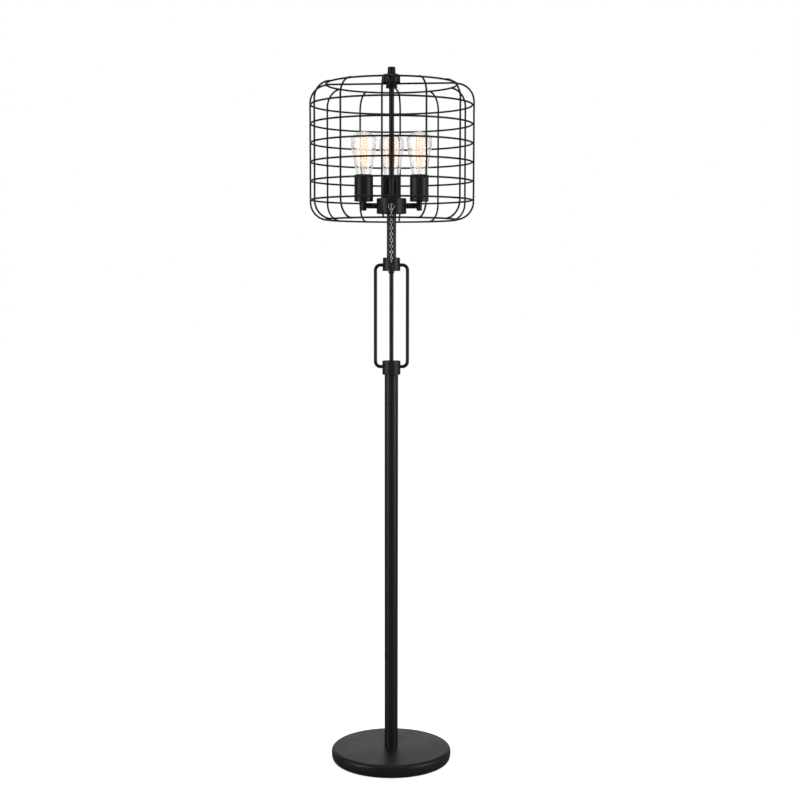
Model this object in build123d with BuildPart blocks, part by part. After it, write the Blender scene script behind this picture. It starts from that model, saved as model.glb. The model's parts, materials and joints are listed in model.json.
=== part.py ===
from build123d import *
import os
from math import acos, atan2, cos, degrees, radians, sin, sqrt

os.makedirs("parts", exist_ok=True)

# A floor lamp: a heavy round base, a stepped column, three bulbs and a cage of welded wire.
# Millimetres. The lamp stands at z = 0, its column is the Z axis and its front faces -Y.

# Fits
plug_gap = 0.05  # round a piece that plugs or screws into another
weld_sink = 0.5  # how deep two crossing wires melt into each other

# Hollow threaded rod that clamps the base and the hub, with its thin hex nuts
thread_d = 10.0
thread_bore = 7.0
thread_past_nut = 1.5
nut_flats = 14.0
nut_h = 4.5

# Base
base_d = 289.0
base_h = 30.0
base_edge_r = 11.0
cover_wall = 1.2
cover_lift = 0.8
pad_t = 2.0
core_gap = 0.5
weight_plate_h = 8.0
weight_boss_d = 60.0
pocket_d = 46.0
pocket_h = 10.0
washer_d = 30.0
washer_t = 2.5
channel_w = 8.0

# Lead inlet in the rear of the base
inlet_z = 11.0
inlet_bore = 6.8
grommet_d = 9.0
grommet_flange_d = 12.0
grommet_flange_t = 1.8
grommet_tail = 4.0
grommet_room = 1.0

# Pole
pole_d = 32.0
pole_wall = 1.2
pole_lower_h = 452.0
pole_upper_h = 464.0
foot_plug_h = 25.0
sleeve_h = 60.0
sleeve_bore = 20.0

# Lower collar
lower_collar_d = 43.0
lower_collar_h = 33.0
collar_edge_r = 1.5
pole_seat = 12.0
lower_rod_z = 18.8  # height of the side rod above the bottom of the collar
centre_seat_low = 10.0

# Two bent side rods and the thin tube between them
side_rod_d = 8.0
side_rod_x = 37.7
side_rod_bend_r = 12.0
side_rod_end_x = 14.0
centre_rod_d = 10.0
centre_rod_wall = 1.5
centre_rod_h = 229.0

# Upper collar
upper_collar_d = 42.4
upper_collar_top_d = 40.3
upper_collar_h = 31.5
centre_seat_high = 8.0
upper_rod_z = 14.1
stem_seat = 10.0

# Upper stem
stem_d = 22.0
stem_wall = 1.5
stem_h = 112.1
stem_plug_h = 15.0

# Hub
hub_d = 70.0
hub_h = 35.7
hub_wall = 1.5
hub_edge_r = 1.2
lid_t = 1.5
lid_skirt_h = 3.0
lid_skirt_t = 1.5

# Pull switch and its bell mouth in the front of the hub
mouth_z = 14.9  # above the bottom of the hub
switch_d = 16.0
switch_length = 19.0
neck_d = 11.4
neck_bore = 9.4
neck_reach = 4.0  # how far the neck stands out of the hub
switch_cavity = 15.0
bell_root_d = 13.2
bell_root_h = 3.0
bell_lip_d = 14.8
bell_length = 11.0
lever_d = 1.2
lever_length = 20.0
lever_gap = 0.05

# Pull chain of oval links
link_wire = 1.3
link_length = 9.75
link_width = 6.0
link_gap = 0.15
link_sides = 6
chain_out = 17.0  # chain line in front of the hub
lead_link_up = 2.5  # lead link above the centre of the mouth
chain_links = 18
eye_leg = 4.4

# Pull knob
knob_h = 23.0
knob_top_d = 9.0
knob_d = 14.0
knob_belly = 6.0
knob_edge_r = 1.0

# Three arms with upright elbows, named by the side that they point to
light_sides = {"right": 0.0, "back": 90.0, "left": 180.0}
light_radius = 65.0
arm_z = 18.4  # above the bottom of the hub
arm_d = 12.4
arm_bore = 10.0
arm_inside = 1.5
elbow_d = 13.0
elbow_below = 11.3
elbow_above = 10.4
elbow_edge_r = 1.5
elbow_shoulder = 9.0
elbow_plug = 6.0
wire_bore = 6.5
wire_bore_below = 3.0
nipple_d = 9.8
nipple_h = 8.0

# Socket cups and what they hold
cup_d = 44.0
cup_h = 62.1
cup_wall = 1.2
cup_top_r = 3.0
cup_bottom_r = 1.0
holder_d = 36.0
holder_h = 45.0
holder_bore_depth = 28.0
shell_d = 27.2
shell_wall = 0.5
shell_h = 22.0
cap_gap = 0.1
bulb_cap_h = 27.0
bulb_cap_wall = 0.5
bulb_cap_cup = 7.0
cap_tip_d = 9.0
cap_tip_h = 1.5
cap_taper_h = 4.5

# Clear bulbs, heights above the top of the bulb cap
glass_wall = 0.9
glass_neck_gap = 0.1
glass_neck_in = 6.0
glass_d = 60.0
glass_belly_z = 98.0
glass_throat_d = 34.0
glass_throat_z = 17.0
glass_shoulder_d = 48.0
glass_shoulder_z = 54.0
glass_dome_h = 18.0
glass_pip_d = 6.0
glass_pip_h = 3.4
stem_foot_h = 12.0
stem_neck_d = 7.0
stem_top_z = 30.0
support_d = 1.8
strand_count = 6
strand_t = 1.4
strand_ring_d = 14.6
strand_bottom_z = 54.0
strand_top_z = 107.0
strand_rise = 3.0

# Riser, seat, cap and finial
riser_d = 12.0
riser_bore = 6.0
riser_h = 257.3
seat_d = 28.0
seat_top_d = 24.5
seat_h = 8.0
seat_socket = 3.0
seat_edge_r = 1.0
top_cap_d = 40.5
top_cap_h = 20.0
top_cap_r = 7.0
top_cap_wall = 1.5
finial_d = 19.5
finial_top_d = 17.5
finial_h = 16.0
finial_edge_r = 1.0
finial_thread = 9.0

# Cage of welded wire
wire_d = 4.4
wire_sides = 6
cage_r = 192.0  # centre line of the upright wires
rib_count = 12
rib_turn = -6.0
rib_bend_r = 42.0
cage_h = 316.0  # from the lowest to the highest centre line of the wires
hoop_count = 6
hoop_first_up = 47.6  # above the lowest centre line
hoop_step = 43.84
top_ring_out = 2.5  # beyond the circle on which the bends of the ribs would be level
bottom_ring_out = 3.5
end_ring_step = 2.0  # from the highest or lowest centre line to that of the end ring
end_ring_turn = 30.0  # turns a flat of the six-sided wire towards the ends of the ribs
spider_arms = 4
spider_plate_d = 30.0
spider_plate_t = 3.0
spider_root = 11.0

# ---------------------------------------------------------------- heights, stacked from the floor

pocket_top_z = pad_t + pocket_h
base_nut_z = pocket_top_z - washer_t - nut_h
pole_joint_z = base_h + pole_lower_h
pole_top_z = pole_joint_z + pole_upper_h
lower_collar_z = pole_top_z - pole_seat
lower_collar_top_z = lower_collar_z + lower_collar_h
centre_rod_z = lower_collar_top_z - centre_seat_low
upper_collar_z = centre_rod_z + centre_rod_h - centre_seat_high
upper_collar_top_z = upper_collar_z + upper_collar_h
stem_z = upper_collar_top_z - stem_seat
hub_z = stem_z + stem_h
hub_top_z = hub_z + hub_h
hub_nut_z = hub_z + hub_wall
lid_nut_z = hub_top_z - lid_t - nut_h
low_rod_z = lower_collar_z + lower_rod_z
high_rod_z = upper_collar_z + upper_rod_z
mouth_axis_z = hub_z + mouth_z
arm_axis_z = hub_z + arm_z
elbow_top_z = arm_axis_z + elbow_above
holder_z = elbow_top_z + cup_wall
bulb_tip_z = holder_z + holder_h - holder_bore_depth
bulb_cap_top_z = bulb_tip_z + bulb_cap_h
riser_top_z = hub_top_z + riser_h
seat_z = riser_top_z - seat_socket
seat_top_z = seat_z + seat_h
spider_z = seat_top_z + wire_d / 2
top_cap_z = spider_z + wire_d / 2
finial_z = top_cap_z + top_cap_h

# ---------------------------------------------------------------- helpers


def save(piece, label):
    """Name a finished piece and write its file."""
    piece.part.label = label
    export_step(piece.part, f"parts/{label}.step")


def spoke(angle, radius, height):
    """Plane that faces outwards along a spoke of the lamp."""
    out = Vector(cos(radians(angle)), sin(radians(angle)), 0)
    return Plane(origin=out * radius + Vector(0, 0, height), z_dir=out)


def add_disc(plane, diameter, length):
    """Add a round boss that grows out of a plane."""
    with BuildSketch(plane) as disc:
        Circle(diameter / 2)
    extrude(disc.sketch, amount=length)


def cut_bore(plane, diameter, length):
    """Cut a round hole that starts on a plane."""
    with BuildSketch(plane) as bore:
        Circle(diameter / 2)
    extrude(bore.sketch, amount=length, mode=Mode.SUBTRACT)


def tube(label, bottom, length, outer_d, bore_d):
    """Plain upright tube on the axis of the lamp."""
    with BuildPart() as piece:
        add_disc(Plane.XY.offset(bottom), outer_d, length)
        cut_bore(Plane.XY.offset(bottom), bore_d, length)
    save(piece, label)


# ---------------------------------------------------------------- base


def base_cover():
    """Spun steel shell with a rounded edge, open below."""
    with BuildPart() as cover:
        add_disc(Plane.XY.offset(cover_lift), base_d, base_h - cover_lift)
        fillet(cover.edges().group_by(Axis.Z)[-1], radius=base_edge_r)
        offset(amount=-cover_wall, openings=cover.faces().sort_by(Axis.Z)[0])
        cut_bore(Plane.XY.offset(base_h - cover_wall), thread_d + 2 * plug_gap, cover_wall)
        cut_bore(spoke(90, base_d / 2 - 2 * cover_wall, inlet_z), grommet_d, 3 * cover_wall)
    save(cover, "base_cover")


def base_weight():
    """Cast plate with a boss that holds up the shell, a pocket for the nut and a lead channel."""
    weight_r = base_d / 2 - cover_wall - core_gap
    with BuildPart() as weight:
        add_disc(Plane.XY.offset(pad_t), 2 * weight_r, weight_plate_h)
        add_disc(Plane.XY.offset(pad_t), weight_boss_d, base_h - cover_wall - pad_t)
        cut_bore(Plane.XY.offset(pad_t), thread_d + 2 * plug_gap, base_h)
        cut_bore(Plane.XY.offset(pad_t), pocket_d, pocket_h)
        with BuildSketch(Plane.XY.offset(pad_t)):
            with Locations((0, weight_r / 2)):
                Rectangle(channel_w, weight_r)
        extrude(amount=pocket_h, mode=Mode.SUBTRACT)
        tail_start = base_d / 2 - cover_wall - grommet_tail - grommet_room
        cut_bore(spoke(90, tail_start, inlet_z), grommet_d + 2 * grommet_room, base_d / 2)
    save(weight, "base_weight")


def base_pad():
    """Soft disc that the lamp stands on."""
    with BuildPart() as pad:
        add_disc(Plane.XY, base_d - 2 * cover_wall - 2 * core_gap, pad_t)
    save(pad, "base_pad")


def base_stud():
    """Hollow threaded rod from the pocket up into the foot of the pole."""
    bottom = base_nut_z - thread_past_nut
    tube("base_stud", bottom, base_h + foot_plug_h - bottom, thread_d, thread_bore)


def base_washer():
    """Wide washer under the ceiling of the pocket."""
    tube("base_washer", pocket_top_z - washer_t, washer_t, washer_d, thread_d + 2 * plug_gap)


def hollow_rod_nuts():
    """The three equal nuts: under the base washer, on the hub floor and under the hub lid."""
    with BuildPart() as nuts:
        for bottom in (base_nut_z, hub_nut_z, lid_nut_z):
            with BuildSketch(Plane.XY.offset(bottom)):
                RegularPolygon(nut_flats / 2, 6, major_radius=False)
                Circle(thread_d / 2 + plug_gap, mode=Mode.SUBTRACT)
            extrude(amount=nut_h)
    save(nuts, "hollow_rod_nuts")


def cord_grommet():
    """Bush in the rear of the shell, with its flange outside."""
    tail = cover_wall + grommet_tail
    with BuildPart() as grommet:
        add_disc(spoke(90, base_d / 2, inlet_z), grommet_flange_d, grommet_flange_t)
        add_disc(spoke(90, base_d / 2 - tail, inlet_z), grommet_d - 2 * plug_gap, tail)
        cut_bore(spoke(90, base_d / 2 - tail, inlet_z), inlet_bore, tail + grommet_flange_t)
    save(grommet, "cord_grommet")


# ---------------------------------------------------------------- pole and open loop


def pole():
    """Two tube sections, the threaded plug in the foot and the sleeve in the joint."""
    bore = pole_d - 2 * pole_wall
    plug_d = bore - 2 * plug_gap
    tube("pole_foot_plug", base_h, foot_plug_h, plug_d, thread_d + 2 * plug_gap)
    tube("pole_lower", base_h, pole_lower_h, pole_d, bore)
    tube("pole_upper", pole_joint_z, pole_upper_h, pole_d, bore)
    tube("pole_joint_sleeve", pole_joint_z - sleeve_h / 2, sleeve_h, plug_d, sleeve_bore)


def cut_side_holes(height, collar_d):
    """Cut the two level holes that take the ends of the side rods."""
    for angle in (0, 180):
        cut_bore(spoke(angle, side_rod_end_x, height), side_rod_d + 2 * plug_gap, collar_d)


def lower_collar():
    """Turned collar on top of the pole."""
    with BuildPart() as collar:
        add_disc(Plane.XY.offset(lower_collar_z), lower_collar_d, lower_collar_h)
        fillet(collar.edges().filter_by(GeomType.CIRCLE), radius=collar_edge_r)
        cut_bore(Plane.XY.offset(lower_collar_z), pole_d + 2 * plug_gap, pole_seat)
        cut_bore(Plane.XY.offset(lower_collar_z), thread_bore, lower_collar_h)
        cut_bore(Plane.XY.offset(centre_rod_z), centre_rod_d + 2 * plug_gap, centre_seat_low)
        cut_side_holes(low_rod_z, lower_collar_d)
    save(collar, "lower_collar")


def upper_collar():
    """Turned collar under the stem, slightly narrower at its top."""
    taper = degrees(atan2((upper_collar_d - upper_collar_top_d) / 2, upper_collar_h))
    with BuildPart() as collar:
        with BuildSketch(Plane.XY.offset(upper_collar_z)):
            Circle(upper_collar_d / 2)
        extrude(amount=upper_collar_h, taper=taper)
        fillet(collar.edges().filter_by(GeomType.CIRCLE), radius=collar_edge_r)
        cut_bore(Plane.XY.offset(upper_collar_z), centre_rod_d + 2 * plug_gap, centre_seat_high)
        cut_bore(Plane.XY.offset(upper_collar_z), thread_bore, upper_collar_h)
        cut_bore(Plane.XY.offset(stem_z), stem_d + 2 * plug_gap, stem_seat)
        cut_side_holes(high_rod_z, upper_collar_d)
    save(collar, "upper_collar")


def side_rods():
    """Two round rods, bent at both ends to enter the collars level."""
    for label, side in (("loop_rod_left", -1), ("loop_rod_right", 1)):
        end_x = side * side_rod_end_x
        out_x = side * side_rod_x
        with BuildPart() as rod:
            with BuildLine(Plane.XZ):
                FilletPolyline(
                    (end_x, low_rod_z),
                    (out_x, low_rod_z),
                    (out_x, high_rod_z),
                    (end_x, high_rod_z),
                    radius=side_rod_bend_r,
                )
            with BuildSketch(Plane(origin=(end_x, 0, low_rod_z), z_dir=(side, 0, 0))):
                Circle(side_rod_d / 2)
            sweep()
        save(rod, label)


def column():
    """Thin tube between the collars, and the stem with the plug that carries the hub."""
    centre_bore = centre_rod_d - 2 * centre_rod_wall
    tube("centre_rod", centre_rod_z, centre_rod_h, centre_rod_d, centre_bore)
    stem_bore = stem_d - 2 * stem_wall
    tube("upper_stem", stem_z, stem_h, stem_d, stem_bore)
    spigot_h = hub_wall + nut_h + thread_past_nut
    with BuildPart() as plug:
        add_disc(Plane.XY.offset(hub_z - stem_plug_h), stem_bore - 2 * plug_gap, stem_plug_h)
        add_disc(Plane.XY.offset(hub_z), thread_d, spigot_h)
        cut_bore(Plane.XY.offset(hub_z - stem_plug_h), thread_bore, stem_plug_h + spigot_h)
    save(plug, "stem_plug")


# ---------------------------------------------------------------- hub and pull switch


def hub_body():
    """Drum with holes for the three arms, the switch and the threaded plug."""
    inner_d = hub_d - 2 * hub_wall
    with BuildPart() as body:
        add_disc(Plane.XY.offset(hub_z), hub_d, hub_h - lid_t)
        fillet(body.edges().group_by(Axis.Z)[0], radius=hub_edge_r)
        cut_bore(Plane.XY.offset(hub_z + hub_wall), inner_d, hub_h)
        cut_bore(Plane.XY.offset(hub_z), thread_d + 2 * plug_gap, hub_wall)
        for angle in light_sides.values():
            cut_bore(spoke(angle, inner_d / 3, arm_axis_z), arm_d + 2 * plug_gap, hub_d / 2)
        cut_bore(spoke(-90, inner_d / 3, mouth_axis_z), neck_d + 2 * plug_gap, hub_d / 2)
    save(body, "hub_body")


def hub_lid():
    """Lid with a skirt that locates it in the drum."""
    skirt_d = hub_d - 2 * hub_wall - 2 * plug_gap
    lid_z = hub_top_z - lid_t
    with BuildPart() as lid:
        add_disc(Plane.XY.offset(lid_z), hub_d, lid_t)
        fillet(lid.edges().group_by(Axis.Z)[-1], radius=hub_edge_r)
        add_disc(Plane.XY.offset(lid_z - lid_skirt_h), skirt_d, lid_skirt_h)
        cut_bore(Plane.XY.offset(lid_z - lid_skirt_h), skirt_d - 2 * lid_skirt_t, lid_skirt_h)
        cut_bore(Plane.XY.offset(lid_z), thread_d + 2 * plug_gap, lid_t)
    save(lid, "hub_lid")


switch_front = sqrt((hub_d / 2 - hub_wall) ** 2 - (switch_d / 2) ** 2) - plug_gap
neck_front = hub_d / 2 + neck_reach


def pull_switch():
    """Switch can against the inside of the drum, with its neck through the wall."""
    with BuildPart() as switch:
        add_disc(spoke(-90, switch_front - switch_length, mouth_axis_z), switch_d, switch_length)
        add_disc(spoke(-90, switch_front, mouth_axis_z), neck_d, neck_front - switch_front)
        cut_bore(spoke(-90, neck_front - switch_cavity, mouth_axis_z), neck_bore, switch_cavity)
    save(switch, "pull_switch")


def bell_mouth():
    """Bright nut on the neck of the switch, flared to a round lip."""
    bore_r = neck_d / 2 + plug_gap
    lip_r = bell_lip_d / 2
    lip_mid = (bore_r + lip_r) / 2
    lip_z = bell_length - (lip_r - bore_r) / 2
    profile = Plane(origin=(0, -hub_d / 2, mouth_axis_z), x_dir=(0, 0, 1), z_dir=(1, 0, 0))
    with BuildPart() as bell:
        with BuildSketch(profile):
            with BuildLine():
                Polyline((bore_r, lip_z), (bore_r, 0), (bell_root_d / 2, 0), (bell_root_d / 2, bell_root_h))
                flare = TangentArc((bell_root_d / 2, bell_root_h), (lip_r, lip_z), tangent=(0, 1))
                ThreePointArc(flare @ 1, (lip_mid, bell_length), (bore_r, lip_z))
            make_face()
        revolve(axis=Axis((0, 0, mouth_axis_z), (0, 1, 0)))
    save(bell, "bell_mouth")


# ---------------------------------------------------------------- pull chain

chain_y = -(hub_d / 2 + chain_out)
lead_link_z = mouth_axis_z + lead_link_up
link_half = (link_length - link_wire) / 2  # centre of a link to the middle of its end wire
link_pitch = link_length - 2 * link_wire - link_gap
top_link_z = lead_link_z + link_wire + link_gap - link_half
last_link_z = top_link_z - chain_links * link_pitch
eye_wire_z = last_link_z - link_half + link_wire + link_gap


def chain_link():
    """Oval link at the origin, standing in the XZ plane."""
    bend_r = (link_width - link_wire) / 2
    straight = link_half - bend_r
    with BuildPart() as link:
        for side in (-1, 1):
            with BuildSketch(Plane.XY.offset(-straight)):
                with Locations((side * bend_r, 0)):
                    RegularPolygon(link_wire / 2, link_sides)
            extrude(amount=2 * straight)
            with BuildSketch(Plane.XY.offset(side * straight)):
                with Locations((bend_r, 0)):
                    RegularPolygon(link_wire / 2, link_sides)
            revolve(axis=Axis((0, 0, side * straight), (0, -side, 0)), revolution_arc=180)
    return link.part


def place_link(centre, turn):
    """Add one link to the part being built: upright and facing front, turned about Z."""
    with Locations(Location(centre, (0, 0, turn))):
        add(chain_link())


def lead_link():
    """Level link that the lever draws down inside the bell mouth."""
    lead_y = chain_y + link_half
    with BuildPart() as lead:
        with Locations(Location((0, lead_y, lead_link_z), (90, 0, 0))):
            add(chain_link())
    save(lead, "lead_link")


def switch_lever():
    """Wire lever of the switch: its upturned end holds the rear of the lead link."""
    pin_y = chain_y + 2 * link_half - link_wire / 2 - lever_d / 2 - lever_gap
    arm_drop = lead_link_z - link_wire / 2 - lever_d / 2 - lever_gap
    pin_top = lead_link_z + link_wire
    with BuildPart() as lever:
        add_disc(Plane(origin=(0, pin_y, arm_drop - lever_d / 2)), lever_d, pin_top - arm_drop)
        add_disc(Plane(origin=(0, pin_y, arm_drop), z_dir=(0, 1, 0)), lever_d, lever_length)
    save(lever, "switch_lever")


def top_link():
    """First hanging link, edge on to the front."""
    with BuildPart() as top:
        place_link((0, chain_y, top_link_z), 90)
    save(top, "top_link")


def pull_chain():
    """The other links, each a quarter turn from the one above."""
    with BuildPart() as chain:
        for index in range(chain_links):
            place_link((0, chain_y, top_link_z - (index + 1) * link_pitch), 90 * (index % 2))
    save(chain, "pull_chain")


def pull_knob():
    """Acorn knob that widens to a rounded belly, with a wire eye in its top."""
    knob_top_z = eye_wire_z - eye_leg
    knob_z = knob_top_z - knob_h
    bend_r = (link_width - link_wire) / 2
    section = Plane(origin=(0, chain_y, knob_z), x_dir=(1, 0, 0), z_dir=(0, -1, 0))
    with BuildPart() as knob:
        with BuildSketch(section):
            with BuildLine():
                Polyline((0, 0), (0, knob_h), (knob_top_d / 2, knob_h))
                flank = Spline(
                    (knob_top_d / 2, knob_h),
                    (knob_d / 2, knob_belly),
                    tangents=((0, -1), (0, -1)),
                    tangent_scalars=(1, 1),
                )
                Spline(flank @ 1, (0, 0), tangents=((0, -1), (-1, 0)))
            make_face()
        revolve(axis=Axis((0, chain_y, 0), (0, 0, 1)))
        fillet(knob.edges().group_by(Axis.Z)[-1], radius=knob_edge_r)
        eye_z = eye_wire_z - bend_r
        for side in (-1, 1):
            with BuildSketch(Plane(origin=(side * bend_r, chain_y, knob_top_z - link_wire))):
                RegularPolygon(link_wire / 2, link_sides)
            extrude(amount=eye_z - knob_top_z + link_wire)
        with BuildSketch(Plane(origin=(bend_r, chain_y, eye_z))):
            RegularPolygon(link_wire / 2, link_sides)
        revolve(axis=Axis((0, chain_y, eye_z), (0, -1, 0)), revolution_arc=180)
    save(knob, "pull_knob")


# ---------------------------------------------------------------- three lights


def light_axis(angle):
    """Foot of the upright axis that a light is turned on."""
    return Vector(light_radius * cos(radians(angle)), light_radius * sin(radians(angle)), 0)


def level(axis, height):
    """Level plane across the axis of a light."""
    return Plane(origin=axis + Vector(0, 0, height))


def turning_plane(axis, height):
    """Plane for the half section of a turned piece: x runs outwards and y upwards."""
    return Plane(origin=axis + Vector(0, 0, height), x_dir=(1, 0, 0), z_dir=(0, -1, 0))


def arm(side, angle):
    """Short tube from the hub to the shoulder of the elbow."""
    start = hub_d / 2 - hub_wall - arm_inside
    end = light_radius - elbow_shoulder
    with BuildPart() as piece:
        add_disc(spoke(angle, start, arm_axis_z), arm_d, end - start)
        cut_bore(spoke(angle, start, arm_axis_z), arm_bore, end - start)
    save(piece, f"arm_{side}")


def elbow(side, angle, axis):
    """Upright barrel with a plug into the arm and a nipple up into the cup."""
    inward = spoke(angle + 180, -light_radius, arm_axis_z)
    bottom = arm_axis_z - elbow_below
    bore_z = arm_axis_z - wire_bore_below
    plug_end = elbow_shoulder + elbow_plug
    with BuildPart() as piece:
        add_disc(level(axis, bottom), elbow_d, elbow_below + elbow_above)
        fillet(piece.edges().group_by(Axis.Z)[0], radius=elbow_edge_r)
        add_disc(inward, arm_d, elbow_shoulder)
        add_disc(inward, arm_bore - 2 * plug_gap, plug_end)
        add_disc(level(axis, elbow_top_z), nipple_d, nipple_h)
        cut_bore(level(axis, bore_z), wire_bore, elbow_top_z + nipple_h - bore_z)
        cut_bore(inward, wire_bore, plug_end)
    save(piece, f"elbow_{side}")


def socket_cup(side, axis):
    """Drawn cup whose top edge rolls in round the neck of the bulb."""
    outer_r = cup_d / 2
    inner_r = outer_r - cup_wall
    lip_r = outer_r - cup_top_r
    roll_z = cup_h - cup_top_r
    bore_r = nipple_d / 2 + plug_gap
    with BuildPart() as cup:
        with BuildSketch(turning_plane(axis, elbow_top_z)):
            with BuildLine():
                foot = TangentArc((outer_r - cup_bottom_r, 0), (outer_r, cup_bottom_r), tangent=(1, 0))
                flank = Line(foot @ 1, (outer_r, roll_z))
                roll_out = TangentArc(flank @ 1, (lip_r, cup_h), tangent=(0, 1))
                lip = Line(roll_out @ 1, (lip_r, cup_h - cup_wall))
                roll_in = TangentArc(lip @ 1, (inner_r, roll_z), tangent=(1, 0))
                Polyline(roll_in @ 1, (inner_r, cup_wall), (bore_r, cup_wall), (bore_r, 0), foot @ 0)
            make_face()
        revolve(axis=Axis(axis, (0, 0, 1)))
    save(cup, f"socket_cup_{side}")


def lampholder(side, axis):
    """Insulating body on the floor of the cup."""
    nipple_in = nipple_h - cup_wall + cap_gap
    with BuildPart() as holder:
        add_disc(level(axis, holder_z), holder_d, holder_h)
        cut_bore(level(axis, holder_z), nipple_d + 2 * plug_gap, nipple_in)
        cut_bore(level(axis, bulb_tip_z), shell_d + 2 * plug_gap, holder_bore_depth)
    save(holder, f"lampholder_{side}")


def screw_shell(side, axis):
    """Thin brass shell that the bulb screws into."""
    with BuildPart() as shell:
        add_disc(level(axis, bulb_tip_z), shell_d, shell_h)
        cut_bore(level(axis, bulb_tip_z), shell_d - 2 * shell_wall, shell_h)
    save(shell, f"screw_shell_{side}")


cap_r = shell_d / 2 - shell_wall - cap_gap
neck_r = cap_r - bulb_cap_wall - glass_neck_gap


def bulb_cap(side, axis):
    """Screw cap with its insulated tip, hollow at the top for the neck of the glass."""
    shoulder_z = cap_tip_h + cap_taper_h
    cup_floor = bulb_cap_h - bulb_cap_cup
    with BuildPart() as cap:
        with BuildSketch(turning_plane(axis, bulb_tip_z)):
            with BuildLine():
                Polyline(
                    (0, 0),
                    (cap_tip_d / 2, 0),
                    (cap_tip_d / 2, cap_tip_h),
                    (cap_r, shoulder_z),
                    (cap_r, bulb_cap_h),
                    (cap_r - bulb_cap_wall, bulb_cap_h),
                    (cap_r - bulb_cap_wall, cup_floor),
                    (0, cup_floor),
                    close=True,
                )
            make_face()
        revolve(axis=Axis(axis, (0, 0, 1)))
    save(cap, f"bulb_cap_{side}")


def bulb_glass(side, axis):
    """Clear bulb: narrow neck, long swelling body and a domed top with its sealing pip."""
    with BuildPart() as glass:
        for wall, mode in ((0, Mode.ADD), (glass_wall, Mode.SUBTRACT)):
            dome_z = glass_belly_z + glass_dome_h - wall
            pip_r = (glass_pip_d if wall == 0 else glass_wall) / 2
            with BuildSketch(turning_plane(axis, bulb_cap_top_z)):
                with BuildLine():
                    neck = Line((neck_r - wall, -glass_neck_in), (neck_r - wall, 0))
                    body = Spline(
                        neck @ 1,
                        (glass_throat_d / 2 - wall, glass_throat_z),
                        (glass_shoulder_d / 2 - wall, glass_shoulder_z),
                        (glass_d / 2 - wall, glass_belly_z),
                        tangents=((0, 1), (0, 1)),
                    )
                    dome = Spline(body @ 1, (pip_r, dome_z), tangents=((0, 1), (-1, 0)))
                    Polyline(dome @ 1, (0, dome_z), (0, -glass_neck_in), neck @ 0)
                make_face()
            revolve(axis=Axis(axis, (0, 0, 1)), mode=mode)
        dome_top = level(axis, bulb_cap_top_z + glass_belly_z + glass_dome_h - glass_wall)
        add_disc(dome_top, glass_pip_d, glass_pip_h + glass_wall)
        fillet(glass.edges().group_by(Axis.Z)[-1], radius=glass_pip_d / 3)
    save(glass, f"bulb_glass_{side}")


def bulb_filament(side, axis):
    """Glass stem, centre support and the long strands strung round it."""
    foot_r = neck_r - glass_wall - glass_neck_gap
    top_z = strand_top_z + strand_rise
    with BuildPart() as filament:
        with BuildSketch(turning_plane(axis, bulb_cap_top_z)):
            with BuildLine():
                Polyline(
                    (0, -glass_neck_in),
                    (foot_r, -glass_neck_in),
                    (stem_neck_d / 2, stem_foot_h - glass_neck_in),
                    (support_d / 2, stem_top_z),
                    (support_d / 2, top_z),
                    (0, top_z),
                    close=True,
                )
            make_face()
        revolve(axis=Axis(axis, (0, 0, 1)))
        for index in range(strand_count):
            turn = Location(axis + Vector(0, 0, bulb_cap_top_z), (0, 0, 360 / strand_count * index))
            with Locations(turn):
                add(strand())
    save(filament, f"bulb_filament_{side}")


def strand():
    """One strand at the origin: out from the stem, straight up and back to the support."""
    inner_x = support_d / 4
    with BuildPart() as wire:
        with BuildLine(Plane.XZ) as route:
            Polyline(
                (inner_x, stem_top_z),
                (strand_ring_d / 2, strand_bottom_z),
                (strand_ring_d / 2, strand_top_z),
                (inner_x, strand_top_z + strand_rise / 2),
            )
        with BuildSketch(Plane(origin=route.line @ 0, z_dir=route.line % 0)):
            Rectangle(strand_t, strand_t)
        sweep(transition=Transition.RIGHT)
    return wire.part


def lights():
    """Everything that each of the three arms carries."""
    for side, angle in light_sides.items():
        axis = light_axis(angle)
        arm(side, angle)
        elbow(side, angle, axis)
        socket_cup(side, axis)
        lampholder(side, axis)
        screw_shell(side, axis)
        bulb_cap(side, axis)
        bulb_glass(side, axis)
        bulb_filament(side, axis)


# ---------------------------------------------------------------- riser and top of the cage


def riser_tube():
    """Long tube that carries the cage, threaded at both ends."""
    lower_thread = lid_t + nut_h + thread_past_nut
    upper_thread = finial_z + finial_thread - riser_top_z
    bottom = hub_top_z - lower_thread
    with BuildPart() as riser:
        add_disc(Plane.XY.offset(bottom), thread_d, lower_thread)
        add_disc(Plane.XY.offset(hub_top_z), riser_d, riser_h)
        add_disc(Plane.XY.offset(riser_top_z), thread_d, upper_thread)
        cut_bore(Plane.XY.offset(bottom), riser_bore, lower_thread + riser_h + upper_thread)
    save(riser, "riser_tube")


def cage_seat():
    """Turned seat on the shoulder of the riser, wider at its foot."""
    taper = degrees(atan2((seat_d - seat_top_d) / 2, seat_h))
    with BuildPart() as seat:
        with BuildSketch(Plane.XY.offset(seat_z)):
            Circle(seat_d / 2)
        extrude(amount=seat_h, taper=taper)
        fillet(seat.edges().group_by(Axis.Z)[0], radius=seat_edge_r)
        cut_bore(Plane.XY.offset(seat_z), thread_d + 2 * plug_gap, seat_h)
        cut_bore(Plane.XY.offset(seat_z), riser_d + 2 * plug_gap, seat_socket)
    save(seat, "cage_seat")


def cage_cap():
    """Domed cap over the middle of the spider."""
    with BuildPart() as cap:
        add_disc(Plane.XY.offset(top_cap_z), top_cap_d, top_cap_h)
        fillet(cap.edges().group_by(Axis.Z)[-1], radius=top_cap_r)
        offset(amount=-top_cap_wall, openings=cap.faces().sort_by(Axis.Z)[0])
        cut_bore(Plane.XY.offset(finial_z - top_cap_wall), thread_d + 2 * plug_gap, top_cap_wall)
    save(cap, "cage_cap")


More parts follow.
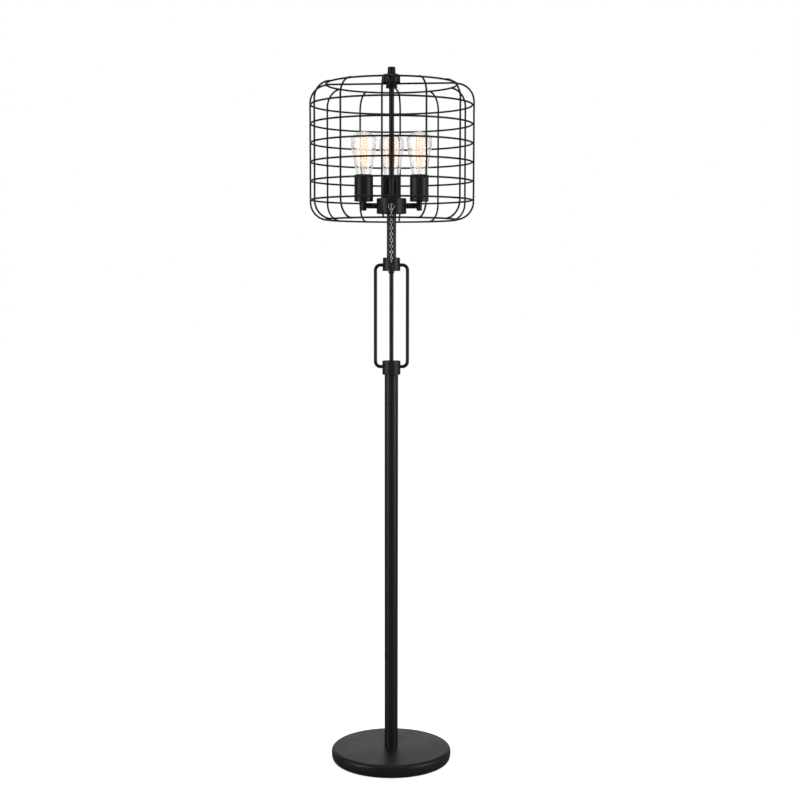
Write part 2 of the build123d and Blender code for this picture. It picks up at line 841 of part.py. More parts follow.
def finial():
    """Turned nut that holds the cage down."""
    taper = degrees(atan2((finial_d - finial_top_d) / 2, finial_h))
    with BuildPart() as nut:
        with BuildSketch(Plane.XY.offset(finial_z)):
            Circle(finial_d / 2)
        extrude(amount=finial_h, taper=taper)
        fillet(nut.edges().filter_by(GeomType.CIRCLE), radius=finial_edge_r)
        cut_bore(Plane.XY.offset(finial_z), thread_d + 2 * plug_gap, finial_thread + cap_gap)
    save(nut, "finial")


# ---------------------------------------------------------------- wire cage

rib_end_r = cage_r - rib_bend_r
rib_bottom_z = spider_z - cage_h
rib_low_z = rib_bottom_z + rib_bend_r
rib_high_z = spider_z - rib_bend_r
hoop_first_z = rib_bottom_z + hoop_first_up
weld_step = wire_d - weld_sink  # between the centre lines of two welded wires
butt_step = wire_d / 2 * cos(radians(180 / wire_sides)) - weld_sink  # ring's centre to wire's end
rib_top_arc = degrees(acos((top_ring_out + butt_step) / rib_bend_r))
rib_bottom_arc = degrees(acos((bottom_ring_out + butt_step) / rib_bend_r))


def cage_rib():
    """One upright wire at angle 0, bent in at both ends until it meets the end rings."""
    with BuildPart() as rib:
        with BuildSketch(Plane.XY.offset(rib_low_z)):
            with Locations((cage_r, 0)):
                RegularPolygon(wire_d / 2, wire_sides)
        extrude(amount=rib_high_z - rib_low_z)
        for height, way, arc in ((rib_high_z, -1, rib_top_arc), (rib_low_z, 1, rib_bottom_arc)):
            with BuildSketch(Plane.XY.offset(height)):
                with Locations((cage_r, 0)):
                    RegularPolygon(wire_d / 2, wire_sides)
            revolve(axis=Axis((rib_end_r, 0, height), (0, way, 0)), revolution_arc=arc)
    return rib.part


def cage_ribs():
    """Twelve equal upright wires."""
    with BuildPart() as ribs:
        with PolarLocations(0, rib_count, start_angle=rib_turn):
            add(cage_rib())
    save(ribs, "cage_ribs")


def ring(radius, height, turn):
    """Level ring of wire, whose section has a corner at the given turn from outwards."""
    with BuildSketch(Plane.XZ) as section:
        with Locations((radius, height)):
            RegularPolygon(wire_d / 2, wire_sides, rotation=turn)
    revolve(section.sketch, axis=Axis.Z)


def cage_hoops():
    """Six level hoops welded to the inside of the ribs."""
    with BuildPart() as hoops:
        for index in range(hoop_count):
            ring(cage_r - weld_step, hoop_first_z + index * hoop_step, 0)
    save(hoops, "cage_hoops")


def end_ring(label, out, height):
    """Ring that all ribs end at, butt-welded to them."""
    with BuildPart() as piece:
        ring(rib_end_r + out, height, end_ring_turn)
    save(piece, label)


def cage_spider():
    """Four bars from the plate on the seat to the top ring, in line with every third rib."""
    bar_end = rib_end_r + top_ring_out - butt_step
    with BuildPart() as spider:
        add_disc(Plane.XY.offset(seat_top_z), spider_plate_d, spider_plate_t)
        for index in range(spider_arms):
            angle = rib_turn + 360 / spider_arms * index
            add_disc(spoke(angle, spider_root, spider_z), wire_d, bar_end - spider_root)
        cut_bore(Plane.XY.offset(seat_top_z), thread_d + 2 * plug_gap, wire_d)
    save(spider, "cage_spider")


# ---------------------------------------------------------------- make every piece

base_cover()
base_weight()
base_pad()
base_stud()
base_washer()
hollow_rod_nuts()
cord_grommet()
pole()
lower_collar()
upper_collar()
side_rods()
column()
hub_body()
hub_lid()
pull_switch()
bell_mouth()
lead_link()
switch_lever()
top_link()
pull_chain()
pull_knob()
lights()
riser_tube()
cage_seat()
cage_cap()
finial()
cage_ribs()
cage_hoops()
end_ring("cage_top_ring", top_ring_out, spider_z - end_ring_step)
end_ring("cage_bottom_ring", bottom_ring_out, rib_bottom_z + end_ring_step)
cage_spider()
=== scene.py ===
# %% [markdown]
# # A floor lamp with a cage of welded wire
# A heavy round base carries a pole. The pole opens into a loop of bent rods, and above the loop a hub holds
# three clear bulbs. A thin tube goes up between the bulbs, and a drum of black wire hangs from its top.
# The measured model of the lamp is packed as a frame, in metres. It is loaded first, and every piece that is
# made here takes its place and its main sizes from the solid that it stands for.

# %% Load the measured lamp
import json
from collections import namedtuple
from math import acos, atan2, cos, pi, radians, sin, tan

import bmesh
import bpy
from mathutils import Matrix, Vector


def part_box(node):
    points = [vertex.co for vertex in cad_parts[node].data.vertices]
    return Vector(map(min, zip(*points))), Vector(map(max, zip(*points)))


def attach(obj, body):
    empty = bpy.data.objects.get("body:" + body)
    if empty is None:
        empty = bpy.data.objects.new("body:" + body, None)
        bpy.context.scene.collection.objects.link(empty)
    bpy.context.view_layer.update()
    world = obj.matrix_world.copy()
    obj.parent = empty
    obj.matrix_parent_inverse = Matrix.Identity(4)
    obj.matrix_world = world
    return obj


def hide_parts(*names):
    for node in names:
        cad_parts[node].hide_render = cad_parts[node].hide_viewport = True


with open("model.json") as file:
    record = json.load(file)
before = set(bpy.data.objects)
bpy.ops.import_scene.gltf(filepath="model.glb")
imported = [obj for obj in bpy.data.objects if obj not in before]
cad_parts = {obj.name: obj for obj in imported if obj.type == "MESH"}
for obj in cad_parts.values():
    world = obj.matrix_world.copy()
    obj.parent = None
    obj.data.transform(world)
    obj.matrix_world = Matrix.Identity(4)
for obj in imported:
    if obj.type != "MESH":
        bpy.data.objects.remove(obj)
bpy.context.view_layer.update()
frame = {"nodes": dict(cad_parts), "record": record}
nodes = frame["nodes"]
scene = bpy.context.scene

# %% [markdown]
# ## Where the picture is taken from
# The lamp was photographed from about chest height with a long lens, turned down a little and a hair off
# level. A camera is a point, a direction and a focal length, so these numbers are enough. The focal length is
# given in pixels of an 800 pixel picture, because that is how it was measured, and Blender wants it in
# millimetres of the sensor.

# %% Camera
PICTURE_PX, FOCAL_PX = 800, 1420
SENSOR = 36.0
CAMERA_PLACE = (0.0201, -3.354, 1.1728)
TILT_DOWN, ROLL = 5.1, -0.067
camera = bpy.data.objects.new("camera", bpy.data.cameras.new("camera"))
scene.collection.objects.link(camera)
scene.camera = camera
camera.data.sensor_width = SENSOR
camera.data.lens = SENSOR * FOCAL_PX / PICTURE_PX
camera.location = CAMERA_PLACE
camera.rotation_euler = (radians(90 - TILT_DOWN), radians(ROLL), 0)
scene.view_settings.view_transform = "Standard"
print("lens", round(camera.data.lens, 1), "mm")

# %% [markdown]
# ## Nodes are added many times, so helpers do it
# A material, the world and a geometry tree are all built from nodes. The helper adds a node, sets its
# options, and feeds each input with a plain value or with an output of a node made before. It gives back one
# output of the new node, the first unless another is asked for. Three more helpers make a sum, a colour
# between two others, and a new material.


# %% Node helpers
def wired(tree, kind, feeds, out=0, **options):
    """Add a node, feed its inputs, and give back one of its outputs."""
    node = tree.nodes.new(kind)
    for key, value in options.items():
        setattr(node, key, value)
    for socket, feed in feeds.items():
        if isinstance(feed, bpy.types.NodeSocket):
            tree.links.new(feed, node.inputs[socket])
        else:
            node.inputs[socket].default_value = feed
    return node.outputs[out] if node.outputs else None


def maths(tree, operation, *values):
    """One sum of two or three values."""
    return wired(tree, "ShaderNodeMath", dict(enumerate(values)), operation=operation)


def blended(tree, share, one, other):
    """Colour between two others."""
    return wired(tree, "ShaderNodeMix", {0: share, 6: one, 7: other}, 2, data_type="RGBA")


def new_material(name):
    """Start a material, and give back its tree too."""
    material = bpy.data.materials.new(name)
    material.use_nodes = True
    return material, material.node_tree


# %% [markdown]
# ## A white studio
# The background of the picture is plain white, and so the world is white for a ray that the camera sends
# straight or through glass. A reflection finds a room: the same white wall behind the lamp, and a dim side
# where the camera stands. That dim side is why the black metal stays black in the middle of every tube. All
# other rays find an even, softer white.

# %% World
WORLD_LIGHT = 0.4
WALL_LIGHT, ROOM_LIGHT = 1.0, 0.06
WALL_FROM, WALL_FULL = 0.6, 0.95
world = bpy.data.worlds.new("white studio")
world.use_nodes = True
scene.world = world
sky = world.node_tree
sky.nodes.clear()


def seen_by_camera(tree):
    """1 for a ray that shows the background straight or through glass."""
    straight = wired(tree, "ShaderNodeLightPath", {}, "Is Camera Ray")
    through = wired(tree, "ShaderNodeLightPath", {}, "Is Transmission Ray")
    return maths(tree, "MAXIMUM", straight, through)


def white_sky(strength):
    """Plain white background of a given strength."""
    return wired(sky, "ShaderNodeBackground", {"Strength": strength, "Color": (1, 1, 1, 1)})


direction = wired(sky, "ShaderNodeTexCoord", {}, "Generated")
backwards = wired(sky, "ShaderNodeSeparateXYZ", {0: direction}, "Y")
feeds = {0: backwards, 1: WALL_FROM, 2: WALL_FULL, 3: ROOM_LIGHT, 4: WALL_LIGHT}
room = wired(sky, "ShaderNodeMapRange", feeds)
glossy = wired(sky, "ShaderNodeLightPath", {}, "Is Glossy Ray")
unseen = wired(sky, "ShaderNodeMixShader", {0: glossy, 1: white_sky(WORLD_LIGHT), 2: white_sky(room)})
both = wired(sky, "ShaderNodeMixShader", {0: seen_by_camera(sky), 1: unseen, 2: white_sky(1.0)})
wired(sky, "ShaderNodeOutputWorld", {"Surface": both})
print("world", world.name)

# %% [markdown]
# Two tall soft boxes stand to the left and right: on a black pole they draw the two long pale bands that the
# photograph shows. A third one hangs above. Each has a place, the point it is turned to, a size and watts.

# %% Lamps
SOFT_BOXES = {
    "soft_box_left": ((-2.6, -1.45, 1.15), (0, 0, 1.0), (0.9, 1.7), 46),
    "soft_box_right": ((2.6, -1.2, 1.15), (0, 0, 1.0), (0.9, 1.7), 46),
    "soft_box_top": ((0, -0.6, 3.4), (0, 0, 0.8), (1.6, 1.6), 16),
}
for name, (place, target, size, watts) in SOFT_BOXES.items():
    lamp = bpy.data.lights.new(name, "AREA")
    lamp.shape = "RECTANGLE"
    lamp.size, lamp.size_y = size
    lamp.energy = watts
    stand = bpy.data.objects.new(name, lamp)
    scene.collection.objects.link(stand)
    stand.location = place
    stand.rotation_euler = (Vector(target) - Vector(place)).to_track_quat("-Z", "Y").to_euler()
print("lamps", list(SOFT_BOXES))

# %% [markdown]
# ## The floor
# A pale floor takes the soft shadow of the base. What the camera sees of it gets a little white of its own,
# so that the floor runs into the white background and the shadow still shows. What only lights the lamp from
# below is a greyer floor, as the foot of the pole is dark in the photograph.

# %% Floor
FLOOR_HALF, FLOOR_DROP = 20.0, 0.0004
PALE, GREY = (0.86, 0.86, 0.86, 1), (0.25, 0.25, 0.25, 1)
OWN_WHITE = 0.68
floor_mesh = bpy.data.meshes.new("floor")
corners = [(x * FLOOR_HALF, y * FLOOR_HALF, -FLOOR_DROP) for x, y in ((-1, -1), (1, -1), (1, 1), (-1, 1))]
floor_mesh.from_pydata(corners, [], [(0, 1, 2, 3)])
floor = bpy.data.objects.new("floor", floor_mesh)
scene.collection.objects.link(floor)
floor_paint, ground = new_material("pale_floor")
ground.nodes.clear()
grey = wired(ground, "ShaderNodeBsdfDiffuse", {"Color": GREY})
pale = wired(ground, "ShaderNodeBsdfDiffuse", {"Color": PALE})
own_white = wired(ground, "ShaderNodeEmission", {"Strength": OWN_WHITE})
lit = wired(ground, "ShaderNodeAddShader", {0: pale, 1: own_white})
top = wired(ground, "ShaderNodeMixShader", {0: seen_by_camera(ground), 1: grey, 2: lit})
wired(ground, "ShaderNodeOutputMaterial", {"Surface": top})
floor_mesh.materials.append(floor_paint)
print("floor", 2 * FLOOR_HALF, "m wide")

# %% [markdown]
# ## Finishes
# Every finish of the lamp is a base of two near colours in soft patches, a roughness that follows the
# patches, and a fine grain that bumps the surface. Satin paint has the slight orange peel of powder coating,
# and cast iron is coarse. So one function makes them all, and the numbers tell them apart: two colours, the
# size of a patch and of a grain, the depth of the grain, and two roughnesses. All patterns read the object's
# own coordinates, in metres. What is the same all over a surface is set on the shader itself.


# %% Mottled finishes
def mottled(name, dark, light, patch, grain, depth, rough, metallic=0.0):
    """Finish with patches of two near colours, and a fine grain that catches the light."""
    finish, tree = new_material(name)
    shader = tree.nodes["Principled BSDF"]
    where = wired(tree, "ShaderNodeTexCoord", {}, "Object")
    cloud = wired(tree, "ShaderNodeTexNoise", {"Vector": where, "Scale": 1 / patch, "Detail": 4.0})
    fine = wired(tree, "ShaderNodeTexNoise", {"Vector": where, "Scale": 1 / grain, "Detail": 2.0})
    sheen = wired(tree, "ShaderNodeMapRange", {0: cloud, 1: 0.3, 2: 0.7, 3: rough[0], 4: rough[1]})
    bump = wired(tree, "ShaderNodeBump", {"Distance": depth, "Height": fine})
    tree.links.new(blended(tree, cloud, (*dark, 1), (*light, 1)), shader.inputs["Base Color"])
    tree.links.new(sheen, shader.inputs["Roughness"])
    tree.links.new(bump, shader.inputs["Normal"])
    set_even(finish, {"Metallic": metallic})
    return finish


def set_even(finish, values):
    """Set what is the same all over the surface, and give back the shader."""
    shader = finish.node_tree.nodes["Principled BSDF"]
    for socket, value in values.items():
        shader.inputs[socket].default_value = value
    return shader


RECIPES = {
    "black_metal": (
        "satin_black_paint", (0.005, 0.005, 0.0055), (0.009, 0.0085, 0.01), 0.06, 0.0012, 3e-5, (0.42, 0.5)
    ),
    "zinc_steel": ("zinc_plate", (0.5, 0.51, 0.53), (0.66, 0.66, 0.64), 0.02, 6e-4, 2e-5, (0.22, 0.36), 1.0),
    "cast_iron": (
        "cast_iron", (0.07, 0.068, 0.066), (0.16, 0.155, 0.15), 0.03, 0.0016, 3e-4, (0.6, 0.8), 0.7
    ),
    "soft_pad": ("foam_pad", (0.018, 0.018, 0.018), (0.035, 0.034, 0.034), 0.01, 0.0008, 3e-4, (0.85, 0.98)),
    "bright_chain": (
        "bright_plate", (0.44, 0.44, 0.46), (0.58, 0.58, 0.58), 0.006, 0.0004, 1e-5, (0.28, 0.38), 1.0
    ),
    "black_plastic": (
        "moulded_plastic", (0.016, 0.016, 0.016), (0.026, 0.026, 0.026), 0.02, 0.0005, 2e-5, (0.4, 0.55)
    ),
    "brass": ("rolled_brass", (0.62, 0.44, 0.18), (0.78, 0.60, 0.30), 0.01, 0.0005, 1e-5, (0.18, 0.34), 1.0),
}
finishes = {slot: mottled(*recipe) for slot, recipe in RECIPES.items()}
PAINT_IOR = 1.36
set_even(finishes["black_metal"], {"IOR": PAINT_IOR})
print("finishes", sorted(finishes))

# %% [markdown]
# ## Clear glass
# The glass is thin and clean, so it is a shader that lets light through, with a breath of colour in it that
# grows towards the edges as the camera sees them. A little of that is the light crossing more glass there;
# the rest is painted shade.

# %% Glass
GLASS_IOR = 1.5
# Painted shade at the glass edges: how fast it grows towards them, and its colour there.
EDGE_BLEND, EDGE_TINT = 0.35, (0.72, 0.66, 0.64, 1)
glass = mottled("clear_glass", (0.985, 0.975, 0.97), (1.0, 0.995, 0.99), 0.05, 0.01, 0.0, (0.0, 0.012))
glass_shader = set_even(glass, {"Transmission Weight": 1.0, "IOR": GLASS_IOR})
# Painted shade: the glass darkens towards its edges as the camera sees them, by facing.
edge_shade = wired(glass.node_tree, "ShaderNodeLayerWeight", {"Blend": EDGE_BLEND}, "Facing")
colour_in = glass_shader.inputs["Base Color"]
clear = colour_in.links[0].from_socket
glass.node_tree.links.new(blended(glass.node_tree, edge_shade, clear, EDGE_TINT), colour_in)
finishes["clear_glass"] = glass
print("glass", glass.name)

# %% [markdown]
# ## Hot wire and its glow
# The carbon strand of such a bulb glows orange and is a little hotter in some places. Its light has the
# strength of the white around it: brighter, and it would turn plain white in the picture. The soft glow round
# the strands of a lit bulb, which all but hides what stands behind it, is painted glow: thin veils that shine
# of their own, mostly see-through.

# %% Filament and painted glow
STRAND_DARK, STRAND_HOT, STRAND_BASE = (1.0, 0.30, 0.02, 1), (1.0, 0.42, 0.05, 1), (0.25, 0.08, 0.03, 1)
STRAND_LIGHT, STRAND_PATCH = 0.8, 1 / 60
hot, hot_tree = new_material("glowing_filament")
hot_shader = set_even(hot, {"Base Color": STRAND_BASE, "Emission Strength": STRAND_LIGHT})
hot_where = wired(hot_tree, "ShaderNodeTexCoord", {}, "Object")
hot_cloud = wired(hot_tree, "ShaderNodeTexNoise", {"Vector": hot_where, "Scale": 1 / STRAND_PATCH})
hot_colour = blended(hot_tree, hot_cloud, STRAND_DARK, STRAND_HOT)
hot_tree.links.new(hot_colour, hot_shader.inputs["Emission Color"])
finishes["glowing_filament"] = hot

# Painted glow: veils round the strands that shine of their own, mostly see-through.
GLOW_COLOUR = (1.0, 0.90, 0.74)
GLOW_SHARE, GLOW_LIGHT = 0.22, 0.45
glow = mottled("painted_glow", GLOW_COLOUR, (1.0, 0.92, 0.78), 0.01, 0.01, 0.0, (1.0, 1.0))
set_even(glow, {"Alpha": GLOW_SHARE, "Specular IOR Level": 0.0})
set_even(glow, {"Emission Color": (*GLOW_COLOUR, 1), "Emission Strength": GLOW_LIGHT})

for row in frame["record"]["subparts"]:
    slots = nodes[row["node"]].data.materials
    slots.clear()
    slots.append(finishes[row["material_slot"]])
print("every solid has the finish of its own slot")

# %% [markdown]
# ## Turned pieces
# Most of the lamp is turned, spun or drawn round an axis: draw half of the section, and spin it. A real edge
# is never sharp, so a point of the section can carry a radius, and a short arc is laid into that corner. One
# more point close to each end of the arc keeps the long flats beside it evenly shaded. Sections are written
# in millimetres, as a turner would have them on a drawing.

# %% Section with rounded corners
MM = 0.001
ARC_HOLD = 0.15
Span = namedtuple("Span", "x y r low mid high")


def span(node):
    """Middle, half width and heights of a solid's box, in millimetres."""
    low, high = (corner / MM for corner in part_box(node))
    middle = (low + high) / 2
    return Span(middle.x, middle.y, (high.x - low.x) / 2, low.z, middle.z, high.z)


def eased(section, steps):
    """Points of a section, with an arc in each corner that has a radius as its third number."""
    points = []
    for index, (r, z, ease) in enumerate((*point, 0)[:3] for point in section):
        here = Vector((r, z))
        if not ease:
            points.append((r, z))
            continue
        before = (Vector(section[index - 1][:2]) - here).normalized()
        after = (Vector(section[(index + 1) % len(section)][:2]) - here).normalized()
        half = before.angle(after) / 2
        centre = here + (before + after).normalized() * (ease / sin(half))
        start = here + before * (ease / tan(half)) - centre
        stop = here + after * (ease / tan(half)) - centre
        turn = atan2(start.x * stop.y - start.y * stop.x, start.dot(stop))
        arc = [centre + Matrix.Rotation(turn * k / steps, 2) @ start for k in range(steps + 1)]
        hold = ARC_HOLD * ease
        points += [tuple(p) for p in (arc[0] + before * hold, *arc, arc[-1] + after * hold)]
    return points


def angles(start, stop, steps):
    """Equal steps from one angle to another, given in degrees."""
    return [radians(start + (stop - start) * k / steps) for k in range(steps + 1)]


print("pole", span("pole_lower"))

# %% [markdown]
# A section that starts and ends on the axis makes a solid piece, whose two ends are closed by one point each.
# Any other section is a closed loop, and makes a ring or a tube. A ripple changes the radius with height and
# angle, which is how the threads are made further on.


# %% Spin a section
SHARP = radians(40)


def new_piece(name, mesh):
    """Show a mesh under a name of its own."""
    mesh.name = name
    piece = bpy.data.objects.new(name, mesh)
    scene.collection.objects.link(piece)
    return piece


def smooth(mesh):
    """Shade a mesh smoothly, except across sharp edges."""
    mesh.shade_smooth()
    mesh.set_sharp_from_angle(angle=SHARP)


def turned(name, section, place=Matrix(), steps=96, arc_steps=5, ripple=None):
    """Round the corners of a section, spin it round its axis, and put the piece in its place."""
    shape = bmesh.new()
    rows = []
    for r, z in eased(section, arc_steps):
        row = []
        for k in range(steps if r > 0 else 1):
            angle = 2 * pi * k / steps
            reach = r + ripple(r, z, angle) if ripple and r > 0 else r
            row.append(shape.verts.new((reach * cos(angle) * MM, reach * sin(angle) * MM, z * MM)))
        rows.append(row)
    if len(rows[0]) > 1:
        rows.append(rows[0])
    for low, high in zip(rows, rows[1:]):
        for k in range(steps):
            around = ((low, k), (low, k + 1), (high, k + 1), (high, k))
            shape.faces.new(dict.fromkeys(row[at % len(row)] for row, at in around))
    bmesh.ops.recalc_face_normals(shape, faces=shape.faces)
    shape.transform(place)
    mesh = bpy.data.meshes.new(name)
    shape.to_mesh(mesh)
    shape.free()
    smooth(mesh)
    return new_piece(name, mesh)


def upright(x, y, z=0.0):
    """Place for a piece that stands upright, from millimetres."""
    return Matrix.Translation((x * MM, y * MM, z * MM))


def spoke(angle, radius, height):
    """Place for a piece that lies along a level spoke, its own axis pointing outwards."""
    out = Matrix.Rotation(radians(angle), 4, "Z") @ upright(radius, 0, height)
    return out @ Matrix.Rotation(pi / 2, 4, "Y")


def fit(piece, *solids, slot="black_metal", body="lamp", finish=None):
    """Give a piece its finish and its body, and let it stand for its solids."""
    piece.data.materials.clear()
    piece.data.materials.append(finish or finishes[slot])
    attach(piece, body)
    if solids:
        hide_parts(*solids)
    print(piece.name, len(piece.data.polygons), "faces")


def lathe(name, section, *solids, slot="black_metal", finish=None, body="lamp", **how):
    """Turn a piece, and fit it."""
    fit(turned(name, section, **how), *solids, slot=slot, body=body, finish=finish)


def tube_section(r, wall, low, high, ease=0.4):
    """Section of a plain tube with broken edges."""
    inner = r - wall
    return [(r, low, ease), (r, high, ease), (inner, high, ease / 2), (inner, low, ease / 2)]


# %% [markdown]
# ## Cutting and joining
# A hole through a shell, or two barrels that meet in an elbow, is a boolean step: one piece cuts or joins the
# other, and the result is kept as a plain mesh.


# %% Boolean step
def combined(piece, other, way):
    """Cut or join a piece with another one, which is then gone."""
    step = piece.modifiers.new("combine", "BOOLEAN")
    step.operation, step.object, step.solver = way, other, "EXACT"
    graph = bpy.context.evaluated_depsgraph_get()
    result = bpy.data.meshes.new_from_object(piece.evaluated_get(graph), depsgraph=graph)
    piece.modifiers.remove(step)
    piece.data = result
    bpy.data.objects.remove(other)
    smooth(result)
    return piece


# %% [markdown]
# ## Base
# The shell of the base is one disc of sheet steel, spun over a form. Its edge is round above and rolls in
# under itself below. Its wall is thin, so its section is drawn as a loop: along the outside, round the hem,
# and back inside.

# %% Base shell
SHEET = 1.2
SHELL_EDGE, ROLL_IN, ROLL_UP, HEM = 9.0, 8.2, 16.5, 12.0
SHELL_TRIM, SHELL_RISE = 0.7, 1.5
BORE_GAP = 0.05
THREAD_R = 5.0
ROD_HOLE = THREAD_R + BORE_GAP
base = span("base_cover")
shell_r, shell_top = base.r - SHELL_TRIM, base.high + SHELL_RISE
hem_r = shell_r - HEM


def shell_side(inset):
    """Side of the shell, set in by a distance: a quarter circle at the top, and a quarter oval below."""
    edge, roll, rise = SHELL_EDGE - inset, ROLL_IN - inset, ROLL_UP - inset
    side = []
    for a in angles(90, 0, 12):
        side.append((shell_r - SHELL_EDGE + edge * cos(a), shell_top - SHELL_EDGE + edge * sin(a)))
    for a in angles(0, 90, 16):
        side.append((shell_r - ROLL_IN + roll * cos(a), base.low + ROLL_UP - rise * sin(a)))
    return side


shell_out = [(ROD_HOLE, shell_top), *shell_side(0), (hem_r, base.low)]
shell_in = [(hem_r, base.low + SHEET), *reversed(shell_side(SHEET)), (ROD_HOLE, shell_top - SHEET)]
base_shell = turned("base_shell", shell_out + shell_in, steps=160)

# %% [markdown]
# The bush for the lead sits in a hole low in the rear wall, and a pad closes the base below.

# %% Bush and pad
HOLE_R, HOLE_IN, HOLE_LONG = 4.5, 6.0, 12.0
bush_z = span("cord_grommet").mid
hole = [(0, 0), (HOLE_R, 0), (HOLE_R, HOLE_LONG), (0, HOLE_LONG)]
hole_cutter = turned("hole_cutter", hole, spoke(90, base.r - HOLE_IN, bush_z), steps=48)
combined(base_shell, hole_cutter, "DIFFERENCE")
fit(base_shell, "base_cover")

LEAD_R, FLANGE_R = 3.4, 6.0
BUSH_OUT, FLANGE_BACK, BUSH_TAIL = 1.8, -3.5, -5.2
bush_place = spoke(90, base.r, bush_z)
bush_section = [
    (LEAD_R, BUSH_OUT, 0.6),
    (FLANGE_R, BUSH_OUT, 0.7),
    (FLANGE_R, FLANGE_BACK, 0.2),
    (HOLE_R - BORE_GAP, FLANGE_BACK),
    (HOLE_R - BORE_GAP, BUSH_TAIL, 0.3),
    (LEAD_R, BUSH_TAIL, 0.3),
]
lathe("cord_bush", bush_section, "cord_grommet", place=bush_place, steps=48, slot="black_plastic")

PAD_GAP, PAD_EDGE = 0.5, 0.6
pad = span("base_pad")
pad_r = hem_r - PAD_GAP
pad_section = [(0, pad.low, 0), (pad_r, pad.low, PAD_EDGE), (pad_r, pad.high, PAD_EDGE), (0, pad.high, 0)]
lathe("foot_pad", pad_section, "base_pad", steps=128, slot="soft_pad")

# %% [markdown]
# Under the shell lies the cast weight, a plate that is round enough below to stay inside the rolled edge. A
# boss in its middle carries the pole, a pocket takes the nut, and a channel takes a lead in. The plate is
# turned, and plain blocks cut the channel and the room for the bush.


# %% Cast weight
def block(name, low, high):
    """Plain block between two corners, in millimetres."""
    size, middle = Vector(high) - Vector(low), (Vector(high) + Vector(low)) / 2
    shape = bmesh.new()
    place = Matrix.Translation(middle * MM) @ Matrix.Diagonal((*(size * MM), 1))
    bmesh.ops.create_cube(shape, size=1.0, matrix=place)
    mesh = bpy.data.meshes.new(name)
    shape.to_mesh(mesh)
    shape.free()
    return new_piece(name, mesh)


POCKET_R, POCKET_H, BOSS_R, DISC_H = 23.0, 10.0, 30.0, 8.0
DISC_GAP, DISC_EDGE = 4.0, 6.0
CHANNELS = ((4.0, 0.0), (5.5, base.r - 7.0))
CUT_BELOW, CUT_BEYOND = 1.0, 5.0
weight = span("base_weight")
disc_r = shell_r - DISC_GAP
weight_section = [
    (POCKET_R, weight.low, 0.5),
    (disc_r, weight.low, DISC_EDGE),
    (disc_r, weight.low + DISC_H, 0.4),
    (BOSS_R, weight.low + DISC_H, 2.0),
    (BOSS_R, weight.high, 1.5),
    (ROD_HOLE, weight.high, 0.3),
    (ROD_HOLE, weight.low + POCKET_H, 0.3),
    (POCKET_R, weight.low + POCKET_H, 1.0),
]
casting = turned("cast_weight", weight_section, steps=128)
for half, start in CHANNELS:
    low = (-half, start, weight.low - CUT_BELOW)
    high = (half, base.r + CUT_BEYOND, weight.low + POCKET_H)
    combined(casting, block("channel_cutter", low, high), "DIFFERENCE")
fit(casting, "base_weight", slot="cast_iron")

# %% [markdown]
# ## Pole and column
# The pole is two lengths of tube with broken edges, so a fine line shows where they meet. A turned collar
# closes it, and a second one starts the thin column above the loop. Both have the same section, and the upper
# one narrows a little towards its top.

# %% Pole, collars, centre rod and stem
for name in ("pole_lower", "pole_upper"):
    piece = span(name)
    lathe(name + "_tube", tube_section(piece.r, SHEET, piece.low, piece.high), name)

COLLAR_EDGE, COLLAR_TOP_R, WIRE_WAY, COLUMN_WALL = 1.5, 20.15, 3.5, 1.5
pole, rod, stem = span("pole_upper"), span("centre_rod"), span("upper_stem")


def collar(name, solid, top_r, mouth, lower, upper):
    """Collar between a tube below and a tube above, open from one to the other for the wires."""
    box = span(solid)
    section = [
        (lower.r + BORE_GAP, box.low, mouth),
        (box.r, box.low, COLLAR_EDGE),
        (top_r, box.high, COLLAR_EDGE),
        (upper.r + BORE_GAP, box.high, 0.3),
        (upper.r + BORE_GAP, upper.low),
        (WIRE_WAY, upper.low),
        (WIRE_WAY, lower.high),
        (lower.r + BORE_GAP, lower.high),
    ]
    lathe(name, section, solid)


collar("collar_on_pole", "lower_collar", span("lower_collar").r, 0, pole, rod)
collar("collar_under_stem", "upper_collar", COLLAR_TOP_R, 0.3, rod, stem)
lathe("centre_tube", tube_section(rod.r, COLUMN_WALL, rod.low, rod.high), "centre_rod")
lathe("stem_tube", tube_section(stem.r, COLUMN_WALL, stem.low, stem.high), "upper_stem")

# %% [markdown]
# ## Hub
# The hub is a shallow drum with a lid. Its floor and wall are one drawn cup, and the lid lies on the rim with
# a fine joint.

# %% Hub and lid
HUB_EDGE = 1.2
HUB_WALL = 1.5
hub, lid = span("hub_body"), span("hub_lid")
lid_low = hub.high
hub_section = [
    (ROD_HOLE, hub.low),
    (hub.r, hub.low, HUB_EDGE),
    (hub.r, hub.high, 0.2),
    (hub.r - HUB_WALL, hub.high, 0.2),
    (hub.r - HUB_WALL, hub.low + HUB_WALL, 0.5),
    (ROD_HOLE, hub.low + HUB_WALL),
]
lathe("hub_drum", hub_section, "hub_body")
skirt = hub.r - HUB_WALL - BORE_GAP
lid_section = [
    (ROD_HOLE, lid.high),
    (hub.r, lid.high, HUB_EDGE),
    (hub.r, lid_low, 0.1),
    (skirt, lid_low),
    (skirt, lid.low, 0.2),
    (skirt - HUB_WALL, lid.low, 0.2),
    (skirt - HUB_WALL, lid_low),
    (ROD_HOLE, lid_low),
]
lathe("hub_cover", lid_section, "hub_lid")

# %% [markdown]
# The switch of the pull chain looks out of the front of the hub through a bright nut, flared like the mouth
# of a horn so that the chain never drags over an edge. The nut is turned along its own level axis.

